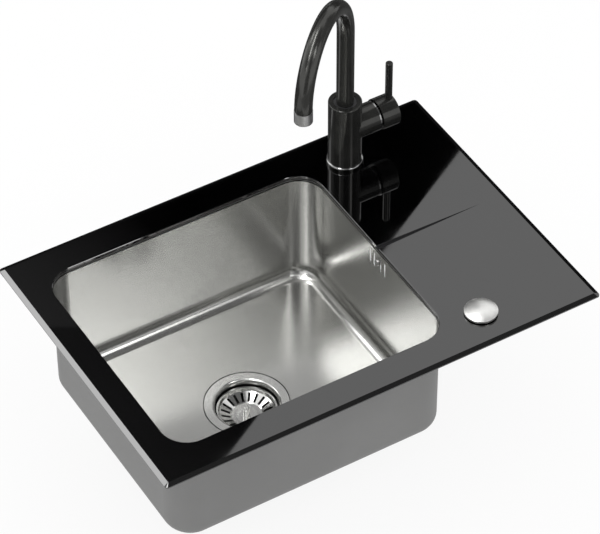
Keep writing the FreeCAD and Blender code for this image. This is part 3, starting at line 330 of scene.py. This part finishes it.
drain_axis = middle_of("strainer_cup")
drain_steel, tree, shader, place = finish("drain_steel", Metallic=1.0)
lines = turned(tree, place, drain_axis, RINGS_TO_METRE)
from_axis = node(tree, "VectorMath", {0: place, 1: drain_axis}, operation="SUBTRACT").outputs[0]
spread = node(tree, "VectorMath", {0: from_axis, 1: (1.0, 1.0, 0.0)}, operation="MULTIPLY").outputs[0]
reach = node(tree, "VectorMath", {0: spread}, operation="LENGTH").outputs["Value"]
flange_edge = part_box("strainer_cup")[1].x - drain_axis.x
# Painted shadow: a thin dark line round the flange's outer edge, where it meets the bowl.
flange_shadow = step(tree, reach, flange_edge - FLANGE_SHADOW_WIDTH, flange_edge - FLANGE_SHADOW_FADE * FLANGE_SHADOW_WIDTH)
flange_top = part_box("strainer_cup")[1].z
# Painted shade: the cup's wall below the flange is darkened, in the recess round the basket.
cup_shadow = step(tree, height_of(tree, place), flange_top - CUP_SHADOW_FADE * CUP_SHADOW_DEPTH, flange_top - CUP_SHADOW_DEPTH)
ring_colour = tint(tree, flange_shadow, tint(tree, lines, DRAIN_SHADE, DRAIN_LIGHT), FLANGE_SHADOW_DARK)
drive(tree, shader, Roughness=between(tree, lines, *DRAIN_ROUGH), Normal=relief(tree, lines, *RING_RELIEF),
      Base_Color=tint(tree, cup_shadow, ring_colour, CUP_SHADOW_DARK))
dress(drain_steel, "strainer_cup")
dress(turned_metal("basket_steel", drain_axis, DRAIN_SHADE, DRAIN_LIGHT, BASKET_ROUGH), "basket_dish", "basket_post")

# Waste, seals and lifter
# The waste body is a pale moulding that a hollow bolt clamps under the cup, with rubber rings on both sides of the
# bowl. The bolt guides the pin that lifts the basket, and the basket's plug plate carries its own rubber ring.
PLAIN_SHADE = (0.40, 0.40, 0.395)
PLAIN_LIGHT = (0.54, 0.54, 0.53)
PLAIN_ROUGH = (0.26, 0.40)
WEAR_SCALE = 220.0
PLUG_DARK = (0.035, 0.035, 0.034)
PLUG_LIGHT = (0.060, 0.060, 0.058)
PLUG_ROUGH = (0.46, 0.60)
STAIN_SCALE = 130.0
RUBBER_DARK = (0.014, 0.014, 0.014)
RUBBER_LIGHT = (0.034, 0.034, 0.034)
RUBBER_SHEEN = 0.35
RUBBER_ROUGH = (0.58, 0.76)
RUBBER_RELIEF = (0.25, 0.0002)
BLOOM_SCALE = 260.0
WASTE_SHADE = (0.62, 0.62, 0.60)
WASTE_LIGHT = (0.70, 0.70, 0.68)
WASTE_ROUGH = (0.40, 0.56)
FLOW_SCALE = 28.0
GRAINS_TO_METRE = 2600.0
GRAIN_DETAIL = 1.0
GRAIN_RELIEF = (0.18, 0.0001)

plain_steel, tree, shader, place = finish("plain_steel", Metallic=1.0)
wear = marks(tree, place, WEAR_SCALE)
drive(tree, shader, Base_Color=tint(tree, wear, PLAIN_SHADE, PLAIN_LIGHT),
      Roughness=between(tree, wear, *PLAIN_ROUGH))
dress(plain_steel, "waste_bolt", "lifter_pin", "overflow_screw", "tap_clamp_washer", "spout_lock_screw",
      "stem_pivot_pin", "cartridge_stem", "handle_grub_screw")

plug_steel, tree, shader, place = finish("stained_plug_steel", Metallic=1.0)
stain = marks(tree, place, STAIN_SCALE)
drive(tree, shader, Base_Color=tint(tree, stain, PLUG_DARK, PLUG_LIGHT),
      Roughness=between(tree, stain, *PLUG_ROUGH))
dress(plug_steel, "basket_plug")

rubber, tree, shader, place = finish("seal_rubber", Specular_IOR_Level=RUBBER_SHEEN)
bloom = marks(tree, place, BLOOM_SCALE)
drive(tree, shader, Base_Color=tint(tree, bloom, RUBBER_DARK, RUBBER_LIGHT),
      Roughness=between(tree, bloom, *RUBBER_ROUGH), Normal=relief(tree, bloom, *RUBBER_RELIEF))
dress(rubber, "flange_seal", "waste_gasket", "basket_seal", "overflow_gasket", "button_seal", "tap_base_gasket",
      "tap_clamp_gasket", "spout_o_rings", "aerator_seal")


def moulded(name, shade, light, rough, **constants):
    """A moulded plastic with the fine spark-eroded grain of its tool."""
    material, tree, shader, place = finish(name, **constants)
    grain = node(tree, "TexNoise", {"Vector": place, "Scale": GRAINS_TO_METRE, "Detail": GRAIN_DETAIL}).outputs[0]
    flow = marks(tree, place, FLOW_SCALE)
    drive(tree, shader, Base_Color=tint(tree, flow, shade, light),
          Roughness=between(tree, grain, *rough), Normal=relief(tree, grain, *GRAIN_RELIEF))
    return material


dress(moulded("waste_plastic", WASTE_SHADE, WASTE_LIGHT, WASTE_ROUGH), "waste_body")

# Overflow
# A box of milky plastic behind the slots in the bowl wall takes the water when the bowl is full. Light passes through
# its thin walls, so the slots look white. One screw through the wall pulls it against its rubber frame.
MILK_SHADE = (0.86, 0.86, 0.85)
MILK_LIGHT = (0.93, 0.93, 0.92)
MILK_ROUGH = (0.50, 0.62)
MILK_SHARE = 0.85
MILK_IOR = 1.12

dress(moulded("overflow_plastic", MILK_SHADE, MILK_LIGHT, MILK_ROUGH, Transmission_Weight=MILK_SHARE, IOR=MILK_IOR),
      "overflow_housing")

# Push button
# A domed cap of satin steel on a dark plastic stem, which slides in a barrel clamped through the glass by a nut.
# Pressing it lifts the basket, and a coil spring brings it back. The barrel has a coarse moulded thread.
BUTTON_SHADE = (0.90, 0.90, 0.88)
BUTTON_LIGHT = (0.95, 0.95, 0.93)
BUTTON_ROUGH = (0.34, 0.38)
RUBBED_SCALE = 160.0
DARK_SHADE = (0.016, 0.016, 0.017)
DARK_LIGHT = (0.030, 0.030, 0.032)
DARK_ROUGH = (0.36, 0.52)
BARREL_R = 0.016
BARREL_FOOT = -0.026
BARREL_PITCH = 0.0025
BARREL_CUT = 0.0011
GLAND_R = 0.006
CABLE_R = 0.0015
CHAMBER_R = 0.0115
GUIDE_R = 0.00605
GUIDE_TOP = -0.016
GUIDE_FOOT = -0.023
FLANGE_THICK = 0.0012
THREAD_STEPS = 10
CREASE = math.radians(50.0)
WIRE_R = 0.0007
SPRING_TURNS = 5


def threaded(radius, low, high, pitch, cut):
    """Rows of a threaded wall from one height up to another, as radius, height and depth of cut: the thread starts
    with a chamfer one pitch long and runs out into the plain wall over its last pitch."""
    heights = np.linspace(low, high, 1 + round((high - low) / pitch) * THREAD_STEPS)
    chamfer = cut * np.clip(1.0 - (heights - low) / pitch, 0.0, 1.0)
    run_out = np.clip((high - heights) / pitch, 0.0, 1.0)
    return zip(radius - chamfer, heights, (cut - chamfer) * run_out)


def piece_of(name, points, faces):
    """A new piece at the origin from its points and faces, smooth except at its creases."""
    mesh = bpy.data.meshes.new(name)
    mesh.from_pydata(points.reshape(-1, 3), [], faces)
    mesh.shade_smooth()
    mesh.set_sharp_from_angle(angle=CREASE)
    piece = bpy.data.objects.new(name, mesh)
    bpy.context.scene.collection.objects.link(piece)
    return piece


def lathed(name, axis, section, pitch, around=144):
    """A closed section turned round an upright axis, with a screw thread where the section has a depth of cut:
    P(s, a) = axis + (r cos a, r sin a, z(s)), r = r(s) - c(s) (1 + cos 2 pi (z(s) / pitch - a / 2 pi)) / 2,
    where a runs once round and each row of the section is a radius r, a height z and a depth of cut c."""
    reach, height, cut = np.array(section).T[:, :, None]
    angle = np.linspace(0.0, 2 * np.pi, around, endpoint=False)
    wave = 0.5 + 0.5 * np.cos(2 * np.pi * height / pitch - angle)
    reach = reach - cut * wave
    points = np.stack([axis.x + reach * np.cos(angle), axis.y + reach * np.sin(angle), height + 0.0 * angle], axis=-1)
    row, column = np.indices(reach.shape)
    above, beside = (row + 1) % len(reach), (column + 1) % around
    faces = np.stack([row * around + column, row * around + beside, above * around + beside, above * around + column],
                     axis=-1)
    return piece_of(name, points, faces.reshape(-1, 4))


satin, tree, shader, place = finish("button_chrome", Metallic=1.0)
rubbed = marks(tree, place, RUBBED_SCALE)
drive(tree, shader, Base_Color=tint(tree, rubbed, BUTTON_SHADE, BUTTON_LIGHT),
      Roughness=between(tree, rubbed, *BUTTON_ROUGH))
dress(satin, "button_cap")
dark_plastic = moulded("dark_plastic", DARK_SHADE, DARK_LIGHT, DARK_ROUGH)
dress(dark_plastic, "button_stem", "button_housing", "button_nut", "spout_bush")

housing_low, housing_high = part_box("button_housing")
flange_r = (housing_high.x - housing_low.x) / 2
flange_foot = housing_high.z - FLANGE_THICK
glass_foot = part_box("glass_top")[0].z
barrel = lathed("threaded_barrel", middle_of("button_housing"),
                [(CABLE_R, housing_low.z, 0.0), (GLAND_R, housing_low.z, 0.0), (GLAND_R, BARREL_FOOT, 0.0),
                 *threaded(BARREL_R, BARREL_FOOT, glass_foot, BARREL_PITCH, BARREL_CUT),
                 (BARREL_R, flange_foot, 0.0), (flange_r, flange_foot, 0.0), (flange_r, housing_high.z, 0.0),
                 (CHAMBER_R, housing_high.z, 0.0), (CHAMBER_R, GUIDE_TOP, 0.0), (GUIDE_R, GUIDE_TOP, 0.0),
                 (GUIDE_R, GUIDE_FOOT, 0.0), (CABLE_R, GUIDE_FOOT, 0.0)], BARREL_PITCH)
barrel.data.materials.append(dark_plastic)
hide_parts("button_housing")
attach(barrel, "sink")


def coiled(name, axis, coil_r, wire_r, low, high, turns, along=24, around=10):
    """A round wire wound in a coil round an upright axis, with closed ends: P(s, a) = C(s) + w (cos a N + sin a B),
    C(s) = axis + (R cos s, R sin s, z), where s runs once round for each turn, z rises evenly, w is half the wire,
    N points away from the axis and B is square to N and to the wire."""
    count = turns * along + 1
    s = np.linspace(0.0, 2 * np.pi * turns, count)[:, None]
    a = np.linspace(0.0, 2 * np.pi, around, endpoint=False)[None, :]
    rise = (high - low) / (2 * np.pi * turns)
    reach = coil_r + wire_r * np.cos(a)
    lift = wire_r * np.sin(a) / math.hypot(rise, coil_r)
    points = np.stack([axis.x + reach * np.cos(s) + lift * rise * np.sin(s),
                       axis.y + reach * np.sin(s) - lift * rise * np.cos(s),
                       low + rise * s + lift * coil_r], axis=-1)
    row, column = np.indices((count - 1, around))
    beside = (column + 1) % around
    faces = np.stack([row * around + column, (row + 1) * around + column, (row + 1) * around + beside,
                      row * around + beside], axis=-1).reshape(-1, 4).tolist()
    ends = [list(range(around)), list(range(count * around - 1, (count - 1) * around - 1, -1))]
    return piece_of(name, points, faces + ends)


spring_low, spring_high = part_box("button_spring")
spring_axis = middle_of("button_housing")
spring = coiled("coil_spring", spring_axis, spring_high.x - spring_axis.x - WIRE_R, WIRE_R,
                spring_low.z + WIRE_R, spring_high.z - WIRE_R, SPRING_TURNS)
spring.data.materials.append(plain_steel)
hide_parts("button_spring")
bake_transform(spring)

# Tap body, base ring and shank
# A cast and turned body in a dark plated finish stands on a ring with a polished upper edge. A threaded brass shank
# passes through the glass and is clamped from below by a rubber ring, a washer and a six-sided nut.
TAP_SHADE = (0.050, 0.050, 0.048)
TAP_LIGHT = (0.061, 0.061, 0.058)
TAP_METAL = 0.75
TAP_ROUGH = (0.12, 0.16)
WIPE_SCALE = 46.0
BRIGHT_SHADE = (0.36, 0.36, 0.36)
BRIGHT_LIGHT = (0.44, 0.44, 0.44)
TRIM_ROUGH = (0.08, 0.13)
RING_ROUGH = (0.17, 0.09)
BRASS_SHADE = (0.46, 0.33, 0.14)
BRASS_LIGHT = (0.62, 0.47, 0.22)
BRASS_ROUGH = (0.24, 0.36)
POLISHED_EDGE = 0.0021
POLISH_FADE = 0.8
SHANK_BORE = 0.012
SHANK_PITCH = 0.002
SHANK_CUT = 0.0009

tap_axis = middle_of("tap_base_ring")
ring_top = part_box("tap_base_ring")[1].z


def dark_plate(name, scale, shade, light, rough):
    """Dark plating over polished metal, with faint cloth marks."""
    material, tree, shader, place = finish(name, Metallic=TAP_METAL)
    wiped = marks(tree, place, scale)
    drive(tree, shader, Base_Color=tint(tree, wiped, shade, light), Roughness=between(tree, wiped, *rough))
    return material


dress(dark_plate("tap_metal", WIPE_SCALE, TAP_SHADE, TAP_LIGHT, TAP_ROUGH), "tap_body", "handle_cap", "lever_pin")
dress(turned_metal("trim_bright", tap_axis, BRIGHT_SHADE, BRIGHT_LIGHT, TRIM_ROUGH), "trim_ring")

ring_plate, tree, shader, place = finish("tap_bright", Metallic=1.0)
polished = step(tree, height_of(tree, place), ring_top - POLISHED_EDGE, ring_top - POLISH_FADE * POLISHED_EDGE)
wiped = marks(tree, place, WIPE_SCALE)
drive(tree, shader, Roughness=mix(tree, polished, *RING_ROUGH),
      Base_Color=tint(tree, polished, tint(tree, wiped, TAP_SHADE, TAP_LIGHT),
                      tint(tree, wiped, BRIGHT_SHADE, BRIGHT_LIGHT)))
dress(ring_plate, "tap_base_ring")

brass = turned_metal("brass", tap_axis, BRASS_SHADE, BRASS_LIGHT, BRASS_ROUGH)
dress(brass, "tap_clamp_nut", "spout_insert", "cartridge_nut")

shank_low, shank_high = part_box("tap_shank")
shank_r = (shank_high.x - shank_low.x) / 2
shank = lathed("threaded_shank", tap_axis,
               [*threaded(shank_r, shank_low.z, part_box("tap_clamp_nut")[1].z, SHANK_PITCH, SHANK_CUT),
                (shank_r, shank_high.z, 0.0), (SHANK_BORE, shank_high.z, 0.0), (SHANK_BORE, shank_low.z, 0.0)],
               SHANK_PITCH)
shank.data.materials.append(brass)
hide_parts("tap_shank")
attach(shank, "sink")

# Spout and aerator
# A bent tube in the same dark plating turns in the body on two rubber rings.
# The aerator at its mouth is a satin aluminium sleeve round a pale plastic jet breaker.
SPOUT_SHADE = (0.061, 0.061, 0.058)
SPOUT_LIGHT = (0.072, 0.072, 0.068)
SPOUT_ROUGH = (0.17, 0.21)
SPOUT_SCALE = 38.0
AERATOR_SHADE = (0.62, 0.62, 0.62)
AERATOR_LIGHT = (0.75, 0.75, 0.75)
AERATOR_ROUGH = (0.30, 0.42)

dress(dark_plate("spout_metal", SPOUT_SCALE, SPOUT_SHADE, SPOUT_LIGHT, SPOUT_ROUGH), "spout")
dress(turned_metal("aerator_silver", middle_of("aerator_housing"), AERATOR_SHADE, AERATOR_LIGHT, AERATOR_ROUGH),
      "aerator_housing")

# Cartridge and lever
# A ceramic cartridge in a pale plastic case sits in the branch under a ring nut. Its spindle turns and tilts with
# the handle, which a grub screw clamps on it.
PALE_SHADE = (0.62, 0.62, 0.60)
PALE_LIGHT = (0.72, 0.72, 0.70)
PALE_ROUGH = (0.34, 0.48)

pale_plastic = moulded("pale_plastic", PALE_SHADE, PALE_LIGHT, PALE_ROUGH)
dress(pale_plastic, "aerator_insert", "cartridge_body", "cartridge_rotor")

# Camera
# The place, aim and focal length come from fitting the plate's corners, the cut-out and the tap to the photograph.
# It looks down on the sink from the front left, from over four metres away, through a long lens.
CAMERA_AIM = Vector((0.01575, 0.02151, 0.007))
CAMERA_DISTANCE = 4.3645
CAMERA_AZIMUTH = math.radians(30.867)
CAMERA_ELEVATION = math.radians(44.536)
CAMERA_ROLL = math.radians(-0.2436)
CAMERA_LENS = 199.24
SENSOR_WIDTH = 36.0
CAMERA_REACH = 100.0

ahead = Vector((math.sin(CAMERA_AZIMUTH) * math.cos(CAMERA_ELEVATION),
                math.cos(CAMERA_AZIMUTH) * math.cos(CAMERA_ELEVATION), -math.sin(CAMERA_ELEVATION)))
level_right = Vector((math.cos(CAMERA_AZIMUTH), -math.sin(CAMERA_AZIMUTH), 0.0))
level_up = level_right.cross(ahead)
right = level_right * math.cos(CAMERA_ROLL) + level_up * math.sin(CAMERA_ROLL)
up = right.cross(ahead)
camera_place = CAMERA_AIM - ahead * CAMERA_DISTANCE
turn = Matrix((right, up, -ahead)).transposed().to_4x4()
camera_data = bpy.data.cameras.new("camera")
camera_data.lens = CAMERA_LENS
camera_data.sensor_width = SENSOR_WIDTH
camera_data.clip_end = CAMERA_REACH
camera = bpy.data.objects.new("camera", camera_data)
camera.matrix_world = Matrix.Translation(camera_place) @ turn
bpy.context.scene.collection.objects.link(camera)
bpy.context.scene.camera = camera

# Studio floor and background
# A pale floor under the sink runs into a white background, which metal and glass mirror as well.
# The floor is partly lit by the lamps, so that it keeps the sink's shadow.
FLOOR_HALF = 14.0
FLOOR_PALE = (0.88, 0.88, 0.88)
FLOOR_WARM = (0.91, 0.91, 0.905)
FLOOR_GLOW = 0.88
FLOOR_ROUGH = 0.9
FLOOR_SHEEN = 0.1
FLOOR_SCALE = 3.0
WHITE = (1.0, 1.0, 1.0, 1.0)
ROOM_LIGHT = 1.05


def seen_rays(tree):
    """1 for rays from the camera, mirrors and glass, and 0 for rays that only carry light."""
    rays = node(tree, "LightPath").outputs
    total = node(tree, "Math", {0: rays["Is Camera Ray"], 1: rays["Is Glossy Ray"]}, operation="ADD").outputs[0]
    total = node(tree, "Math", {0: total, 1: rays["Is Transmission Ray"]}, operation="ADD", use_clamp=True)
    return total.outputs[0]


def sheet_of(name, corners):
    """A flat four-sided sheet of the studio."""
    mesh = bpy.data.meshes.new(name)
    mesh.from_pydata([tuple(corner) for corner in corners], [], [(0, 1, 2, 3)])
    sheet = bpy.data.objects.new(name, mesh)
    bpy.context.scene.collection.objects.link(sheet)
    return sheet


floor_z = cad_box[0][2]
floor = sheet_of("floor", [(-FLOOR_HALF, -FLOOR_HALF, floor_z), (FLOOR_HALF, -FLOOR_HALF, floor_z),
                           (FLOOR_HALF, FLOOR_HALF, floor_z), (-FLOOR_HALF, FLOOR_HALF, floor_z)])
floor_paint, tree, shader, place = finish("floor_paint", Roughness=FLOOR_ROUGH, Specular_IOR_Level=FLOOR_SHEEN)
drive(tree, shader, Base_Color=tint(tree, marks(tree, place, FLOOR_SCALE), FLOOR_PALE, FLOOR_WARM))
glow = node(tree, "Emission", {"Color": WHITE, "Strength": 1.0}).outputs[0]
share = node(tree, "Math", {0: seen_rays(tree), 1: FLOOR_GLOW}, operation="MULTIPLY").outputs[0]
blended = node(tree, "MixShader", {0: share, 1: shader.outputs[0], 2: glow}).outputs[0]
tree.links.new(blended, tree.nodes["Material Output"].inputs["Surface"])
floor.data.materials.append(floor_paint)

world = bpy.data.worlds.new("studio")
world.use_nodes = True
tree = world.node_tree
room = tree.nodes["Background"]
room.inputs["Strength"].default_value = ROOM_LIGHT
white = node(tree, "Background", {"Color": WHITE, "Strength": 1.0}).outputs[0]
room.inputs["Color"].default_value = WHITE
mixed = node(tree, "MixShader", {0: seen_rays(tree), 1: room.outputs[0], 2: white}).outputs[0]
tree.links.new(mixed, tree.nodes["World Output"].inputs["Surface"])
bpy.context.scene.world = world

# Studio lamps and cards
# Three soft boxes light the sink from its back left, front right and front left. Cards that only mirrors see stand
# round it: most darken the room, a bright strip draws the streak on the spout, and those high above the back blacken
# the left of the glass, with a straight edge on the drainer.
# Each soft box has its place, width, height and radiance.
SOFT_BOXES = {
    "back_left_box": (Vector((-1.00, 2.10, 2.50)), 0.85, 0.85, 3.3),
    "front_right_box": (Vector((0.64, -1.72, 2.30)), 0.52, 0.90, 4.4),
    "front_left_box": (Vector((-2.05, -0.95, 2.15)), 0.36, 0.36, 3.5),
}
# Each hung card has its azimuth and elevation in degrees, width, height and radiance.
HUNG_CARDS = {
    "overhead_card": (-42.0, 70.0, 6.4, 6.0, 0.13),
    "front_card": (-110.0, 45.0, 4.1, 4.4, 0.15),
    "gap_card": (-80.5, 45.0, 4.2, 4.4, 0.45),
    "left_card": (-180.0, 45.0, 5.0, 3.6, 0.28),
    "back_card": (86.0, 17.0, 8.0, 5.0, 0.03),
    "right_card": (-54.0, 43.0, 4.2, 3.6, 0.10),
    "side_card": (-13.0, 21.0, 6.8, 9.4, 0.18),
    "bevel_card": (42.0, 8.0, 6.2, 3.5, 0.03),
    "back_left_card": (130.0, 13.0, 4.4, 4.4, 1.8),
    "low_front_card": (-117.0, 12.0, 7.0, 6.4, 0.12),
}
HUNG_REACH = 9.0
# Each floor card has its left, near, right and far edges and radiance.
FLOOR_CARDS = {
    "back_floor_card": (-8.0, 0.45, 8.0, 9.0, 0.08),
    "left_floor_card": (-8.0, -1.5, -0.7, 0.45, 0.70),
    "right_floor_card": (0.5, -1.2, 8.0, 0.45, 0.15),
    "front_floor_card": (-3.0, -6.0, 2.0, -0.75, 0.30),
}
FLOOR_CARD_RISE = 0.003
CARD_HEIGHT = 12.0
EDGE_BACK = Vector((0.324, 0.1053))
EDGE_FRONT = Vector((-0.2326, -0.2176))
BLACK_SPAN = 0.85
BLACK_OVERRUN = 0.12
BLACK_LIGHT = 0.050
SHEEN_CORNERS = ((-0.45, 0.175), (-0.12, -0.026), (-0.12, 0.60), (-0.45, 0.60))
SHEEN_HEIGHT = 11.9
SHEEN_START = -0.325
SHEEN_END = -0.12
SHEEN_LIGHT = 0.112
DIM_HEIGHT = 12.4
DIM_SPAN = 2.4
DIM_OVERRUN = 1.1
DIM_LIGHT = 0.42
STRIP_MIDDLE = Vector((-0.855, 0.09, 3.0))
STRIP_ALONG = Vector((1.02, 0.80, 0.0))
STRIP_ACROSS = Vector((-0.130, 0.165, 0.0))
STRIP_LIGHT = 10.0

for name, (spot, width, height, radiance) in SOFT_BOXES.items():
    lamp_data = bpy.data.lights.new(name, "AREA")
    lamp_data.shape = "RECTANGLE"
    lamp_data.size = width
    lamp_data.size_y = height
    lamp_data.energy = radiance * math.pi * width * height
    lamp = bpy.data.objects.new(name, lamp_data)
    lamp.matrix_world = Matrix.Translation(spot) @ spot.to_track_quat("Z", "Y").to_matrix().to_4x4()
    bpy.context.scene.collection.objects.link(lamp)


def mirrored(point, height):
    """The place at a height that the camera sees mirrored at a point of the glass top."""
    glass_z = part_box("glass_top")[1].z
    eye = Vector((camera_place.x, camera_place.y, 2 * glass_z - camera_place.z))
    on_glass = Vector((point.x, point.y, glass_z))
    return eye + (on_glass - eye) * ((height - eye.z) / (glass_z - eye.z))


def card(name, corners, radiance, fade=None):
    """A card that only mirrors see: it gives off one radiance, or one that fades from left to right, and casts no
    shadow. A fade is the place where it starts, the place where it ends and the radiance at its start."""
    sheet = sheet_of(name, corners)
    paint = bpy.data.materials.new(name + "_paint")
    paint.use_nodes = True
    tree = paint.node_tree
    glow = node(tree, "Emission", {"Color": WHITE, "Strength": radiance})
    if fade:
        across = node(tree, "SeparateXYZ", {0: node(tree, "TexCoord").outputs["Object"]}).outputs["X"]
        fading = between(tree, step(tree, across, fade[0], fade[1]), fade[2], radiance)
        tree.links.new(fading, glow.inputs["Strength"])
    tree.links.new(glow.outputs[0], tree.nodes["Material Output"].inputs["Surface"])
    sheet.data.materials.append(paint)
    sheet.visible_camera = False
    sheet.visible_diffuse = False
    sheet.visible_shadow = False
    sheet.visible_transmission = False


def edge_card(name, height, span, overrun, radiance, fade=None):
    """A card whose one side is the straight edge on the drainer, run on at both ends; it spans the left of it."""
    edge = (EDGE_BACK - EDGE_FRONT).normalized()
    aside = Vector((-edge.y, edge.x)) * span
    back_end = EDGE_BACK + edge * overrun
    front_end = EDGE_FRONT - edge * overrun
    points = (front_end, back_end, back_end + aside, front_end + aside)
    card(name, [mirrored(point, height) for point in points], radiance, fade)


sheen_from = mirrored(Vector((SHEEN_START, 0.0)), CARD_HEIGHT).x
sheen_to = mirrored(Vector((SHEEN_END, 0.0)), CARD_HEIGHT).x
card("sheen_card", [mirrored(Vector(point), SHEEN_HEIGHT) for point in SHEEN_CORNERS], 0.0,
     (sheen_from, sheen_to, SHEEN_LIGHT))
edge_card("black_card", CARD_HEIGHT, BLACK_SPAN, BLACK_OVERRUN, 0.0, (sheen_from, sheen_to, BLACK_LIGHT))
edge_card("dim_card", DIM_HEIGHT, DIM_SPAN, DIM_OVERRUN, DIM_LIGHT)

card("strip_card", [STRIP_MIDDLE - STRIP_ALONG - STRIP_ACROSS, STRIP_MIDDLE + STRIP_ALONG - STRIP_ACROSS,
                    STRIP_MIDDLE + STRIP_ALONG + STRIP_ACROSS, STRIP_MIDDLE - STRIP_ALONG + STRIP_ACROSS], STRIP_LIGHT)

for name, (azimuth, elevation, width, height, radiance) in HUNG_CARDS.items():
    round_by, rise = math.radians(azimuth), math.radians(elevation)
    way = Vector((math.cos(round_by) * math.cos(rise), math.sin(round_by) * math.cos(rise), math.sin(rise)))
    across = Vector((-math.sin(round_by), math.cos(round_by), 0.0)) * width / 2
    along = way.cross(across).normalized() * height / 2
    middle = way * HUNG_REACH
    card(name, [middle - across - along, middle + across - along, middle + across + along, middle - across + along],
         radiance)

for name, (left, near, right_end, far, radiance) in FLOOR_CARDS.items():
    height = floor_z + FLOOR_CARD_RISE
    card(name, [(left, near, height), (right_end, near, height), (right_end, far, height), (left, far, height)],
         radiance)

bpy.context.scene.view_settings.view_transform = "Standard"
